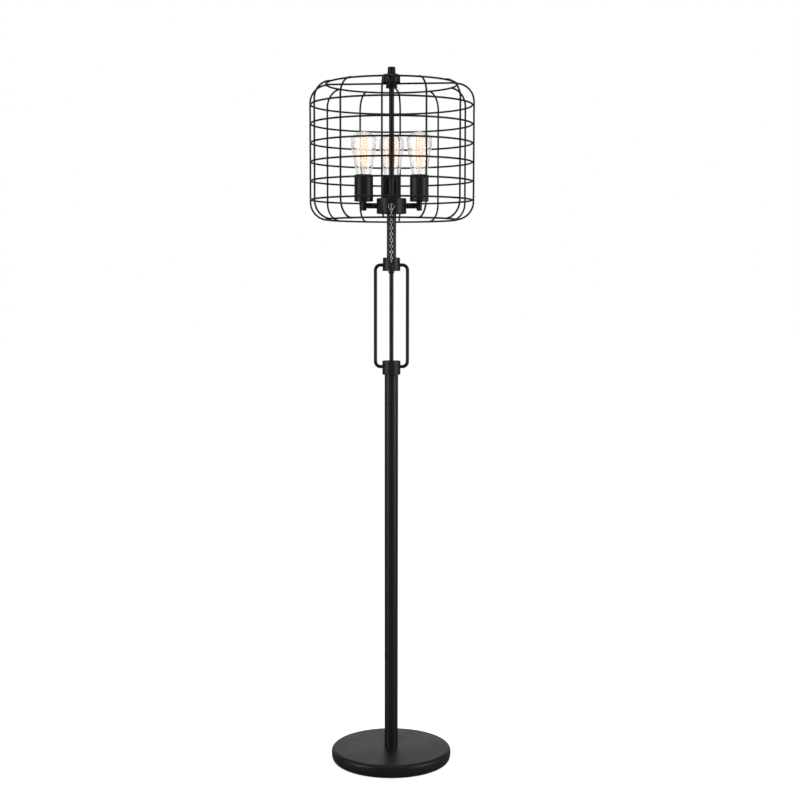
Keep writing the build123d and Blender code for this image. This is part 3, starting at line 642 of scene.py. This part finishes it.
# %% Horn-mouthed nut
NUT_BORE, NUT_ROOT, NUT_LIP = 5.75, 6.6, 7.4
NUT_NECK, NUT_LONG, NUT_EASE = 3.0, 10.0, 0.3
widen, reach = NUT_LIP - NUT_ROOT, NUT_LONG - NUT_NECK
flare = [(NUT_ROOT + widen * t**2, NUT_NECK + reach * t) for t in (k / 8 for k in range(9))]
lip_mid, lip_half = (NUT_BORE + NUT_LIP) / 2, (NUT_LIP - NUT_BORE) / 2
lip = [(lip_mid + lip_half * cos(a), NUT_LONG + lip_half * sin(a)) for a in angles(18, 162, 8)]
nut_end = [(NUT_BORE, 0), (NUT_ROOT - NUT_EASE, 0), (NUT_ROOT, NUT_EASE)]
nut_section = [*nut_end, *flare, *lip, (NUT_BORE, NUT_LONG)]
nut_place = spoke(-90, hub.r, span("bell_mouth").mid)
lathe("horn_mouthed_nut", nut_section, "bell_mouth", place=nut_place, steps=64, slot="bright_chain")

# %% [markdown]
# ## Arms and elbows
# Three short tubes leave the hub, to the right, to the rear and to the left. Each ends in an elbow: an
# upright barrel with a level shoulder. The barrel and the shoulder are turned apart and joined.

# %% Arms
LIGHTS = {"right": 0, "back": 90, "left": 180}
LIGHT_R = 65.0
ARM_R, ARM_WALL = 6.2, 1.2
ARM_FROM, ARM_TO = 32.0, 56.0
places = {}
for side, angle in LIGHTS.items():
    places[side] = upright(LIGHT_R * cos(radians(angle)), LIGHT_R * sin(radians(angle)))
arm_z = span("arm_right").low + ARM_R
arm_section = tube_section(ARM_R, ARM_WALL, ARM_FROM, ARM_TO, 0.3)
for side, angle in LIGHTS.items():
    lathe("arm_tube_" + side, arm_section, "arm_" + side, place=spoke(angle, 0, arm_z), steps=64)

# %% Elbows
ELBOW_R, SPIGOT_R, WIRE_BORE, BORE_DOWN = 6.5, 4.9, 3.25, 3.0
PLUG_FROM, SHOULDER_TO = 50.0, 61.0
plug_r = ARM_R - ARM_WALL - BORE_GAP
shoulder_section = [
    (0, PLUG_FROM),
    (plug_r, PLUG_FROM, 0.5),
    (plug_r, ARM_TO),
    (ARM_R, ARM_TO, 0.3),
    (ARM_R, SHOULDER_TO),
    (0, SHOULDER_TO),
]
for side, angle in LIGHTS.items():
    elbow = span("elbow_" + side)
    cup_low = span("socket_cup_" + side).low
    barrel = [
        (0, elbow.low),
        (ELBOW_R, elbow.low, 1.5),
        (ELBOW_R, cup_low, 0.4),
        (SPIGOT_R, cup_low),
        (SPIGOT_R, elbow.high, 0.5),
        (WIRE_BORE, elbow.high, 0.3),
        (WIRE_BORE, arm_z - BORE_DOWN, 0.5),
        (0, arm_z - BORE_DOWN),
    ]
    upper = turned("elbow_joint_" + side, barrel, places[side], steps=72)
    level = turned("shoulder", shoulder_section, spoke(angle, 0, arm_z), steps=64)
    fit(combined(upper, level, "UNION"), "elbow_" + side)

# %% [markdown]
# ## Socket cups
# Each cup is drawn from sheet, and its top edge rolls in round the neck of the bulb. Inside stands the
# insulating body.

# %% Cup and insulating body
CUP_ROLL, LIP_IN = 3.0, 0.8
CONTACT_R, BODY_FLOOR = 4.0, 7.0
SPIGOT_HOLE = SPIGOT_R + BORE_GAP


def make_cup(side):
    """Drawn cup with its edge rolled in."""
    cup = span("socket_cup_" + side)
    lip_r = cup.r - CUP_ROLL - LIP_IN
    section = [
        (SPIGOT_HOLE, cup.low),
        (cup.r, cup.low, 1.0),
        (cup.r, cup.high, CUP_ROLL),
        (lip_r, cup.high, 0.3),
        (lip_r, cup.high - SHEET, 0.3),
        (cup.r - SHEET, cup.high - SHEET, CUP_ROLL - SHEET),
        (cup.r - SHEET, cup.low + SHEET, 0.5),
        (SPIGOT_HOLE, cup.low + SHEET),
    ]
    lathe("cup_" + side, section, "socket_cup_" + side, place=places[side], arc_steps=7)


def make_insulator(side):
    """Insulating body, with the room for the brass shell and a hole for the contact."""
    body, shell = span("lampholder_" + side), span("screw_shell_" + side)
    section = [
        (SPIGOT_HOLE, body.low),
        (body.r, body.low, 0.8),
        (body.r, body.high, 1.2),
        (shell.r + BORE_GAP, body.high, 0.8),
        (shell.r + BORE_GAP, shell.low),
        (CONTACT_R, shell.low, 0.3),
        (CONTACT_R, body.low + BODY_FLOOR),
        (SPIGOT_HOLE, body.low + BODY_FLOOR),
    ]
    looks = {"place": places[side], "steps": 72, "slot": "black_plastic"}
    lathe("insulator_" + side, section, "lampholder_" + side, **looks)


# %% [markdown]
# In the body stands the brass shell with its rolled thread. The thread of a screw bulb is a soft wave in thin
# metal. One wave serves the shell and the cap of the bulb, so they never cross.

# %% Threads
THREAD_PITCH, THREAD_HALF, THREAD_FROM_R = 3.63, 0.42, 12.4
SHELL_THIN, CAP_THIN, CAP_PLAY = 0.5, 0.45, 0.12
CAP_TIP = [(0, 0), (3.9, 0), (4.5, 0.6), (4.5, 1.5), (8.0, 3.4)]
CAP_STEP, CAP_STEP_Z, CAP_FLANK, CAP_DEEP = 0.6, 5.6, 6.2, 7.0
RUN_IN, RUN_OUT, CAP_RUN_IN = 2.0, 1.0, 6.5


def rolled_thread(start, stop):
    """Ripple that runs round between two heights as a screw thread and fades at its ends."""

    def ripple(r, z, angle):
        if r < THREAD_FROM_R:
            return 0.0
        fade = max(0.0, min(1.0, (z - start) / THREAD_PITCH, (stop - z) / THREAD_PITCH))
        return THREAD_HALF * fade * cos(2 * pi * z / THREAD_PITCH - angle)

    return ripple


def ladder(r, low, high, step=0.5):
    """Close points up a straight flank, for a ripple to act on."""
    count = round(abs(high - low) / step)
    return [(r, low + (high - low) * k / count) for k in range(count + 1)]


def make_threads(side):
    """Brass shell of the socket, and the cap of the bulb in it."""
    shell, cap = span("screw_shell_" + side), span("bulb_cap_" + side)
    looks = {"place": places[side], "steps": 72, "slot": "brass"}
    outer = shell.r - THREAD_HALF
    inner = outer - SHELL_THIN
    loop = ladder(outer, shell.low, shell.high) + ladder(inner, shell.high, shell.low)
    thread = rolled_thread(shell.low + RUN_IN, shell.high - RUN_OUT)
    lathe("thread_shell_" + side, loop, "screw_shell_" + side, ripple=thread, **looks)

    wave_r = inner - CAP_PLAY
    loop = [(r, cap.low + z) for r, z in [*CAP_TIP, (wave_r - CAP_STEP, CAP_STEP_Z)]]
    loop += ladder(wave_r, cap.low + CAP_FLANK, cap.high)
    loop += ladder(wave_r - CAP_THIN, cap.high, cap.high - CAP_DEEP)[1:] + [(0, cap.high - CAP_DEEP)]
    thread = rolled_thread(cap.low + CAP_RUN_IN, shell.high)
    lathe("bulb_screw_cap_" + side, loop, "bulb_cap_" + side, ripple=thread, **looks)


for side in LIGHTS:
    make_cup(side)
    make_insulator(side)
    make_threads(side)

# %% [markdown]
# ## Bulbs
# The bulb has the long pear shape of an early lamp: a narrow neck, a body that swells slowly, a low dome and
# the small pip where the glass was sealed. A smooth curve through a few measured radii gives the outside.
# Glass only looks like glass with a real wall, so the inside is the same curve, set in by the wall.

# %% Outline of the glass
GLASS_WALL = 0.9
NECK_R, NECK_LOW, NECK_MID = 12.4, -6.0, -3.0
BODY = ((0, NECK_R, 0.0), (17, 17.0, 0.22), (54, 24.0, 0.165), (98, 30.0, 0.0))
DOME_H = 18.0
PIP = [(3.3, 0.1), (2.95, 0.9), (2.7, 2.0), (2.1, 2.9), (1.1, 3.35), (0, 3.45)]


def flowing(knots, step=2.5):
    """Points of a smooth curve through (height, radius, slope) knots."""
    points = []
    for (z0, r0, m0), (z1, r1, m1) in zip(knots, knots[1:]):
        count = round((z1 - z0) / step)
        for k in range(count):
            t, gap = k / count, z1 - z0
            ease_in = r0 * (2 * t**3 - 3 * t**2 + 1) + m0 * gap * (t**3 - 2 * t**2 + t)
            ease_out = r1 * (3 * t**2 - 2 * t**3) + m1 * gap * (t**3 - t**2)
            points.append((ease_in + ease_out, z0 + gap * t))
    return points


def set_in(outline, wall):
    """The same outline, moved in by the thickness of the wall."""
    points = []
    for index, (r, z) in enumerate(outline):
        before, after = outline[max(index - 1, 0)], outline[min(index + 1, len(outline) - 1)]
        way = Vector((after[0] - before[0], after[1] - before[1])).normalized()
        points.append((r - way.y * wall, z + way.x * wall))
    return points


body_top = BODY[-1][0]
outside = [(NECK_R, NECK_LOW), (NECK_R, NECK_MID)] + flowing(BODY)
outside += [(BODY[-1][1] * cos(a), body_top + DOME_H * sin(a)) for a in angles(0, 80, 20)]
inside = [p for p in set_in(outside, GLASS_WALL) if p[0] > 0]
pip = [(r, body_top + DOME_H + z) for r, z in PIP]
glass_section = [*reversed(pip), *reversed(outside), *inside, (0, body_top + DOME_H - GLASS_WALL)]
print("points round the glass", len(glass_section))

# %% [markdown]
# Inside stands a glass stem: a foot melted to the neck, a flattened press, and a thin rod with two small
# beads of glass that hold the wires.

# %% Glass and stem of each bulb
STEM = [
    (0, -5.5), (11.2, -5.5), (11.3, -5.0), (8.5, -2.5), (5.2, 2.0), (3.9, 8.0), (3.6, 16.0), (3.2, 22.0),
    (2.2, 27.5), (1.2, 30.0), (0.9, 32.0), (0.9, 43.0), (1.5, 44.2), (1.8, 45.5), (1.5, 46.8), (0.9, 48.0),
    (0.9, 104.0), (0.9, 105.5), (1.6, 106.6), (1.9, 108.0), (1.6, 109.3), (0.9, 110.0), (0, 110.2),
]
bulb_feet = {side: places[side] @ upright(0, 0, span("bulb_cap_" + side).high) for side in LIGHTS}
for side, here in bulb_feet.items():
    lathe("bulb_" + side, glass_section, "bulb_glass_" + side, place=here, slot="clear_glass")
    lathe("bulb_stem_" + side, STEM, "bulb_filament_" + side, place=here, steps=32, slot="clear_glass")

# %% [markdown]
# The painted glow is drawn as two egg-shaped veils round the strands, one inside the other; they shine of
# their own.

# %% Painted glow round the strands
GLOW_MIDDLE, GLOW_HALF = 72.0, 42.0
VEILS = {"wide": (21.0, 1.0), "narrow": (13.0, 0.85)}
for side, here in bulb_feet.items():
    for name, (reach, share) in VEILS.items():
        half = GLOW_HALF * share
        egg = [(reach * cos(a), GLOW_MIDDLE + half * sin(a)) for a in angles(-82.5, 82.5, 22)]
        egg = [(0, GLOW_MIDDLE - half), *egg, (0, GLOW_MIDDLE + half)]
        lathe(f"glow_{name}_{side}", egg, place=here, steps=48, slot="glowing_filament", finish=glow)

# %% [markdown]
# ## Bent wire, again and again
# The ribs, the bars on top, the bent rods of the loop, and even the strands in the bulbs are all one thing: a
# wire bent at a few corners and repeated round an axis. So one geometry tree makes them. It takes the corner
# points of one wire, rounds the corners, gives the line its thickness, and sets copies round the axis.


# %% Tree: wires round an axis
def new_tree(name, sizes):
    """Start a geometry tree with named inputs, each with its kind and first value."""
    tree = bpy.data.node_groups.new(name, "GeometryNodeTree")
    tree.interface.new_socket("Geometry", in_out="OUTPUT", socket_type="NodeSocketGeometry")
    inputs = {"Geometry": ("Geometry", None), **sizes, "Finish": ("Material", None)}
    for label, (kind, value) in inputs.items():
        socket = tree.interface.new_socket(label, in_out="INPUT", socket_type="NodeSocket" + kind)
        if value is not None:
            socket.default_value = value
    return tree, tree.nodes.new("NodeGroupInput").outputs


def finish_tree(tree, given, copies):
    """End a tree: real copies, smooth, in their finish."""
    real = wired(tree, "GeometryNodeRealizeInstances", {"Geometry": copies})
    even = wired(tree, "GeometryNodeSetShadeSmooth", {"Geometry": real})
    painted = wired(tree, "GeometryNodeSetMaterial", {"Geometry": even, "Material": given["Finish"]})
    wired(tree, "NodeGroupOutput", {"Geometry": painted})
    print("tree", tree.name, "with", len(tree.nodes), "nodes")


def along_z(tree, z):
    """A number as the height of a point, or as a turn round the axis."""
    return wired(tree, "ShaderNodeCombineXYZ", {"Z": z})


def copied(tree, points, thing, **turn):
    """A copy of a thing on every point."""
    return wired(tree, "GeometryNodeInstanceOnPoints", {"Points": points, "Instance": thing, **turn})


def round_wire(tree, line, thickness, sides):
    """Give a line a round section of a given thickness."""
    half = maths(tree, "MULTIPLY", thickness, 0.5)
    circle = wired(tree, "GeometryNodeCurvePrimitiveCircle", {"Resolution": sides, "Radius": half})
    feeds = {"Curve": line, "Profile Curve": circle, "Fill Caps": True}
    return wired(tree, "GeometryNodeCurveToMesh", feeds)


BEND_STEPS = 12
wire_sizes = {
    "Number": ("Int", 12),
    "First angle": ("Float", 0.0),
    "Bend radius": ("Float", 0.0),
    "Thickness": ("Float", 0.004),
    "Sides": ("Int", 16),
    "Closed": ("Bool", False),
}
wires, given = new_tree("wires round an axis", wire_sizes)
line = wired(wires, "GeometryNodeMeshToCurve", {"Mesh": given["Geometry"]})
line = wired(wires, "GeometryNodeSetSplineCyclic", {"Geometry": line, "Cyclic": given["Closed"]})
feeds = {"Curve": line, "Radius": given["Bend radius"], "Count": BEND_STEPS}
bends = wired(wires, "GeometryNodeFilletCurve", feeds, mode="POLY")
one_wire = round_wire(wires, bends, given["Thickness"], given["Sides"])
spots = wired(wires, "GeometryNodePoints", {"Count": given["Number"]})
part = maths(wires, "DIVIDE", wired(wires, "GeometryNodeInputIndex", {}), given["Number"])
turn = maths(wires, "MULTIPLY_ADD", part, 2 * pi, given["First angle"])
finish_tree(wires, given, copied(wires, spots, one_wire, Rotation=along_z(wires, turn)))

# %% [markdown]
# To use a tree, an object gets it as a modifier, the sizes go in by the identifiers of its inputs, and the
# result is kept as a plain mesh. The modifier then goes, because the export would not take copies along.


# %% Grow and fit a piece from a tree
def grow(name, tree, *solids, slot="black_metal", body="lamp", corners=(), place=Matrix(), **sizes):
    """Run a tree on the corner points of a wire, in millimetres, keep the mesh, and fit it."""
    seed_mesh = bpy.data.meshes.new(name)
    points = [Vector(p) * MM for p in corners]
    seed_mesh.from_pydata(points, [(k, k + 1) for k in range(len(points) - 1)], [])
    piece = new_piece(name, seed_mesh)
    step = piece.modifiers.new("grow", "NODES")
    step.node_group = tree
    sizes["Finish"] = finishes[slot]
    for item in tree.interface.items_tree:
        if item.in_out == "INPUT" and item.name in sizes:
            step[item.identifier] = sizes[item.name]
    graph = bpy.context.evaluated_depsgraph_get()
    mesh = bpy.data.meshes.new_from_object(piece.evaluated_get(graph), depsgraph=graph)
    piece.modifiers.remove(step)
    piece.data = mesh
    mesh.transform(place)
    mesh.set_sharp_from_angle(angle=SHARP)
    fit(piece, *solids, slot=slot, body=body)


# %% [markdown]
# ## The loop
# Two round rods leave the lower collar sideways, turn up, and turn in again to the upper collar. They are the
# first use of the tree: one wire each, to the right and to the left.

# %% Bent side rods
ROD_D, ROD_X, ROD_END, ROD_BEND = 8.0, 37.7, 14.0, 12.0
low_rod_z = span("loop_rod_right").low + ROD_D / 2
high_rod_z = span("loop_rod_right").high - ROD_D / 2
rod_line = [(ROD_END, 0, low_rod_z), (ROD_X, 0, low_rod_z), (ROD_X, 0, high_rod_z), (ROD_END, 0, high_rod_z)]
for side, first in (("right", 0.0), ("left", pi)):
    sizes = {"First angle": first, "Bend radius": ROD_BEND * MM, "Thickness": ROD_D * MM, "Sides": 32}
    grow("bent_rod_" + side, wires, "loop_rod_" + side, corners=rod_line, Number=1, **sizes)

# %% [markdown]
# ## Filaments
# One strand runs up and down six times round the stem, over small hooks of bare wire. It is one closed line
# with rounded corners, so the same tree makes it, once. The hooks are six equal wires below and six above.

# %% Strands and hooks
STRANDS, RING_R, STRAND_D, HOOK_D = 6, 7.3, 1.5, 0.7
STRAND_LOW, STRAND_HIGH = 53.0, 107.5
STRAND_BEND, HOOK_BEND = 2.4, 0.5
HOOK_TIP_R, HOOK_GAP, HOOK_BACK = RING_R + 0.5, 0.6, 0.8
LOOP_TURN = radians(35)
strand_line = []
for k in range(STRANDS):
    around = LOOP_TURN + 2 * pi * k / STRANDS
    ends = (STRAND_LOW, STRAND_HIGH) if k % 2 else (STRAND_HIGH, STRAND_LOW)
    strand_line += [(RING_R * cos(around), RING_R * sin(around), z) for z in ends]
low_eye = [(RING_R, 0, STRAND_LOW - HOOK_GAP), (HOOK_TIP_R, 0, STRAND_LOW + HOOK_BACK)]
high_eye = [(RING_R, 0, STRAND_HIGH + HOOK_GAP), (HOOK_TIP_R, 0, STRAND_HIGH - HOOK_BACK)]
hook_lines = {"low": [(1.3, 0, 29.0), (2.6, 0, 34.0), *low_eye], "high": [(1.4, 0, 108.6), *high_eye]}
strand = {"Number": 1, "Bend radius": STRAND_BEND * MM, "Thickness": STRAND_D * MM, "Sides": 8}
strand["Closed"] = True
hook = {"Number": STRANDS, "Bend radius": HOOK_BEND * MM, "Thickness": HOOK_D * MM, "Sides": 6}
hook["First angle"] = LOOP_TURN
for side, here in bulb_feet.items():
    common = {"slot": "glowing_filament", "place": here}
    grow("strands_" + side, wires, "bulb_filament_" + side, corners=strand_line, **common, **strand)
    for end, hook_line in hook_lines.items():
        grow(f"hooks_{end}_{side}", wires, corners=hook_line, **common, **hook)

# %% [markdown]
# ## Ribs and bars of the cage
# Twelve ribs go down the cage, bent in at the top and the bottom until they meet a ring. Four straight bars
# join the top ring to a plate in the middle. A wire that is cut off before its bend is complete still follows
# the same rounded corner: the corner only moves to where the line along the wire's end meets the upright one.

# %% Ribs
WIRE_D, MELT = 4.4, 0.5
CAGE_R, RIB_BEND = 192.0, 42.0
RIB_RISE = {"top": 0.8, "bottom": -0.3}
RIBS, RIB_TURN = 12, radians(-6)
FLAT = WIRE_D / 2 * cos(pi / 6)
end_rings, bends = {}, {}
for end, way in (("top", 1), ("bottom", -1)):
    box = span(f"cage_{end}_ring")
    end_rings[end] = (box.r - FLAT, box.mid)
    bends[end] = (end_rings[end][1] + RIB_RISE[end] - way * RIB_BEND, way)


def rib_end(end):
    """End of a rib at its ring, and the corner that its bend is rounded from."""
    bend_z, way = bends[end]
    stop_r = end_rings[end][0] + FLAT - MELT
    arc = acos((stop_r - CAGE_R + RIB_BEND) / RIB_BEND)
    corner = (CAGE_R, 0, bend_z + way * RIB_BEND * tan(arc / 2))
    return (stop_r, 0, bend_z + way * RIB_BEND * sin(arc)), corner


rib_line = [*rib_end("bottom"), *reversed(rib_end("top"))]
sizes = {"Number": RIBS, "First angle": RIB_TURN, "Bend radius": RIB_BEND * MM, "Thickness": WIRE_D * MM}
grow("ribs", wires, "cage_ribs", corners=rib_line, **sizes)

# %% Bars and plate
BARS, BAR_FROM = 4, 9.0
CENTRE_R, CENTRE_H = 15.0, 3.0
seat = span("cage_seat")
bar_z = seat.high + WIRE_D / 2
sizes["Number"] = BARS
bar_line = [(BAR_FROM, 0, bar_z), (end_rings["top"][0] - FLAT + MELT, 0, bar_z)]
grow("top_bars", wires, "cage_spider", corners=bar_line, **sizes)
plate_top = seat.high + CENTRE_H
plate_section = [
    (ROD_HOLE, seat.high),
    (CENTRE_R, seat.high, 0.4),
    (CENTRE_R, plate_top, 0.6),
    (ROD_HOLE, plate_top, 0.3),
]
lathe("spider_plate", plate_section, "cage_spider", steps=72)

# %% [markdown]
# ## Hoops and end rings
# Level hoops are welded inside the ribs at equal steps, and the ribs end at a ring above and below. A second
# tree stacks level rings up the axis.


# %% Tree: rings up an axis
def stacked(tree, given, thing):
    """Copies of a thing up the axis, from the tree's first height by its spacing."""
    start, step_up = along_z(tree, given["First height"]), along_z(tree, given["Spacing"])
    feeds = {"Count": given["Number"], "Start Location": start, "Offset": step_up}
    return copied(tree, wired(tree, "GeometryNodeMeshLine", feeds), thing)


RING_STEPS, WIRE_SIDES = 180, 16
ring_sizes = {
    "Number": ("Int", 6),
    "Radius": ("Float", 0.19),
    "First height": ("Float", 0.0),
    "Spacing": ("Float", 0.04),
    "Thickness": ("Float", 0.004),
}
rings, given = new_tree("rings up an axis", ring_sizes)
feeds = {"Resolution": RING_STEPS, "Radius": given["Radius"]}
circle = wired(rings, "GeometryNodeCurvePrimitiveCircle", feeds)
one_ring = round_wire(rings, circle, given["Thickness"], WIRE_SIDES)
finish_tree(rings, given, stacked(rings, given, one_ring))

# %% Hoops and rings
HOOPS = 6
WELD_STEP = WIRE_D - MELT
HOOP_R = CAGE_R - WELD_STEP
hoop_box = span("cage_hoops")
hoop_low = hoop_box.low + FLAT
hoop_step = (hoop_box.high - FLAT - hoop_low) / (HOOPS - 1)
ring_rows = {"hoops": ("cage_hoops", HOOPS, HOOP_R, hoop_low, hoop_step)}
for end, (radius, height) in end_rings.items():
    ring_rows[end + "_ring"] = (f"cage_{end}_ring", 1, radius, height, 0)
for name, (solid, number, radius, height, step) in ring_rows.items():
    sizes = {"Number": number, "Thickness": WIRE_D * MM, "Radius": radius * MM}
    sizes |= {"First height": height * MM, "Spacing": step * MM}
    grow(name, rings, solid, **sizes)

# %% [markdown]
# ## Welds
# Where a rib crosses a hoop, the two wires have melted into a small bead. There are nearly a hundred of them,
# so a third tree sets a low ball of few faces on every crossing: a circle of points, one for each rib,
# stacked once for each hoop.

# %% Tree: beads where wires cross
bead_sizes = {
    "Ribs": ("Int", RIBS),
    "First angle": ("Float", 0.0),
    "Radius": ("Float", 0.19),
    "Number": ("Int", 6),
    "First height": ("Float", 0.0),
    "Spacing": ("Float", 0.04),
    "Bead": ("Float", 0.0025),
}
beads, given = new_tree("beads where wires cross", bead_sizes)
feeds = {"Vertices": given["Ribs"], "Radius": given["Radius"]}
spots = wired(beads, "GeometryNodeMeshCircle", feeds)
feeds = {"Geometry": spots, "Rotation": along_z(beads, given["First angle"])}
spots = wired(beads, "GeometryNodeTransform", feeds)
grid = wired(beads, "GeometryNodeRealizeInstances", {"Geometry": stacked(beads, given, spots)})
ball = wired(beads, "GeometryNodeMeshIcoSphere", {"Radius": given["Bead"], "Subdivisions": 2})
finish_tree(beads, given, copied(beads, grid, ball))

# %% Weld beads
BEAD = 2.5
weld_rows = {"hoops": (RIBS, HOOP_R + WELD_STEP / 2, HOOPS, hoop_low, hoop_step)}
for end, (radius, height) in end_rings.items():
    (stop_r, _, stop_z), _ = rib_end(end)
    weld_rows[end + "_ring"] = (RIBS, stop_r, 1, (height + stop_z) / 2, 0)
top_r, top_z = end_rings["top"]
weld_rows["bars"] = (BARS, top_r - FLAT + MELT, 1, (top_z + bar_z) / 2, 0)
for name, (ribs, radius, number, height, step) in weld_rows.items():
    sizes = {"Ribs": ribs, "First angle": RIB_TURN, "Number": number, "Bead": BEAD * MM}
    sizes |= {"Radius": radius * MM, "First height": height * MM, "Spacing": step * MM}
    grow("welds_" + name, beads, **sizes)

# %% [markdown]
# ## Middle of the cage
# The riser is a thin tube with a turned seat on its shoulder. The bars rest on the seat, a domed cap covers
# them, and a turned nut, broken at its edges, holds everything down.

# %% Riser and seat
RISER_R, RISER_BORE = 6.0, 3.0
SEAT_TOP_R, SEAT_HOLD = 12.25, 3.0
riser = span("riser_tube")
shoulder_z = seat.low + SEAT_HOLD
riser_section = [
    (RISER_BORE, riser.low, 0.3),
    (THREAD_R, riser.low, 0.5),
    (THREAD_R, lid.high),
    (RISER_R, lid.high, 0.3),
    (RISER_R, shoulder_z, 0.3),
    (THREAD_R, shoulder_z),
    (THREAD_R, riser.high, 0.5),
    (RISER_BORE, riser.high, 0.3),
]
lathe("riser", riser_section, "riser_tube", steps=64)
seat_section = [
    (RISER_R + BORE_GAP, seat.low, 0.3),
    (seat.r, seat.low, 1.0),
    (SEAT_TOP_R, seat.high, 0.5),
    (ROD_HOLE, seat.high),
    (ROD_HOLE, shoulder_z),
    (RISER_R + BORE_GAP, shoulder_z),
]
lathe("turned_seat", seat_section, "cage_seat", steps=72)

# %% Cap and finial
CAP_EDGE, CAP_WALL = 7.0, 1.5
NUT_TOP_R, NUT_THREAD = 8.75, 9.1
cap = span("cage_cap")
cap_section = [
    (ROD_HOLE, cap.high),
    (cap.r, cap.high, CAP_EDGE),
    (cap.r, cap.low, 0.5),
    (cap.r - CAP_WALL, cap.low, 0.5),
    (cap.r - CAP_WALL, cap.high - CAP_WALL, CAP_EDGE - CAP_WALL),
    (ROD_HOLE, cap.high - CAP_WALL),
]
lathe("domed_cap", cap_section, "cage_cap", arc_steps=10)
top_nut = span("finial")
thread_end = top_nut.low + NUT_THREAD
finial_section = [
    (0, thread_end),
    (ROD_HOLE, thread_end),
    (ROD_HOLE, top_nut.low, 0.3),
    (top_nut.r, top_nut.low, 1.0),
    (NUT_TOP_R, top_nut.high, 1.2),
    (0, top_nut.high),
]
lathe("finial_nut", finial_section, "finial", steps=72)

# %% [markdown]
# ## Pull chain
# The chain is made of oval links, each a quarter turn from the one above. A link is a rectangle with its
# corners rounded so far that its ends become half circles. The level link in the mouth of the nut moves with
# the pull, the first hanging link swings fore and aft, and the rest swings sideways below it.

# %% Tree: chain of links
ALMOST_HALF = 0.4999
LINK_SIDES, LINK_STEPS = 12, 7
link_sizes = {
    "Number": ("Int", 18),
    "Spacing": ("Float", 0.007),
    "Thickness": ("Float", 0.0013),
    "Length": ("Float", 0.00975),
    "Width": ("Float", 0.006),
    "First turn": ("Float", 0.0),
    "Lean": ("Float", 0.0),
    "Top link": ("Vector", (0.0, 0.0, 0.0)),
}
links, given = new_tree("chain of links", link_sizes)
wide = maths(links, "SUBTRACT", given["Width"], given["Thickness"])
long = maths(links, "SUBTRACT", given["Length"], given["Thickness"])
oval = wired(links, "GeometryNodeCurvePrimitiveQuadrilateral", {"Width": wide, "Height": long})
feeds = {"Curve": oval, "Radius": maths(links, "MULTIPLY", wide, ALMOST_HALF), "Count": LINK_STEPS}
oval = wired(links, "GeometryNodeFilletCurve", feeds, mode="POLY")
link = round_wire(links, oval, given["Thickness"], LINK_SIDES)
link = wired(links, "GeometryNodeTransform", {"Geometry": link, "Rotation": (pi / 2, 0, 0)})
down = along_z(links, maths(links, "MULTIPLY", given["Spacing"], -1.0))
feeds = {"Count": given["Number"], "Start Location": given["Top link"], "Offset": down}
spots = wired(links, "GeometryNodeMeshLine", feeds)
other = maths(links, "MODULO", wired(links, "GeometryNodeInputIndex", {}), 2.0)
turn = maths(links, "MULTIPLY_ADD", other, pi / 2, given["First turn"])
turn = wired(links, "ShaderNodeCombineXYZ", {"X": given["Lean"], "Z": turn})
finish_tree(links, given, copied(links, spots, link, Rotation=turn))

# %% Links
LINK_LONG, HANGING = 9.75, 18
lead, first, rest = span("lead_link"), span("top_link"), span("pull_chain")
rows = {
    "link_in_mouth": ("pull", "lead_link", {"Number": 1, "Lean": pi / 2}, (lead.y, lead.mid)),
    "first_link": ("swing", "top_link", {"Number": 1, "First turn": pi / 2}, (first.y, first.mid)),
    "hanging_links": ("chain", "pull_chain", {"Number": HANGING}, (rest.y, rest.high - LINK_LONG / 2)),
}
for name, (body, solid, sizes, (y, z)) in rows.items():
    sizes["Top link"] = (0.0, y * MM, z * MM)
    grow(name, links, solid, slot="bright_chain", body=body, **sizes)

# %% [markdown]
# ## Pull knob
# A small black acorn hangs on the last link: narrow at its shoulder, widest just above its foot. A wire eye
# comes out of its top. The eye is one more bent wire.

# %% Knob and its eye
KNOB_H, KNOB_TOP_R, KNOB_BELLY = 23.0, 4.5, 6.0
EYE_WIRE, EYE_BEND, EYE_PLAY = 1.3, 2.35, 0.01
CROWN = [(KNOB_TOP_R, -1.0), (4.35, -0.45), (4.0, -0.1), (3.5, 0.0), (0, 0.0)]
knob = span("pull_knob")
crown = [(r, KNOB_H + z) for r, z in CROWN]
flank = flowing([(KNOB_BELLY, knob.r, 0.0), (crown[0][1], KNOB_TOP_R, 0.0)], step=1.0)
foot = [(knob.r * sin(a), KNOB_BELLY * (1 - cos(a))) for a in angles(0, 82.5, 11)]
knob_place = upright(0, rest.y, knob.low)
lathe("acorn_knob", foot + flank + crown, "pull_knob", place=knob_place, steps=64, body="chain")
eye_top = knob.high - EYE_WIRE / 2
eye_foot = knob.low + KNOB_H - EYE_WIRE
eye_line = [(-EYE_BEND, 0, eye_foot), (-EYE_BEND, 0, eye_top)]
eye_line += [(EYE_BEND, 0, eye_top), (EYE_BEND, 0, eye_foot)]
sizes = {"Number": 1, "Bend radius": (EYE_BEND - EYE_PLAY) * MM, "Thickness": EYE_WIRE * MM, "Sides": 12}
grow("knob_eye", wires, body="chain", corners=eye_line, place=upright(0, rest.y), **sizes)
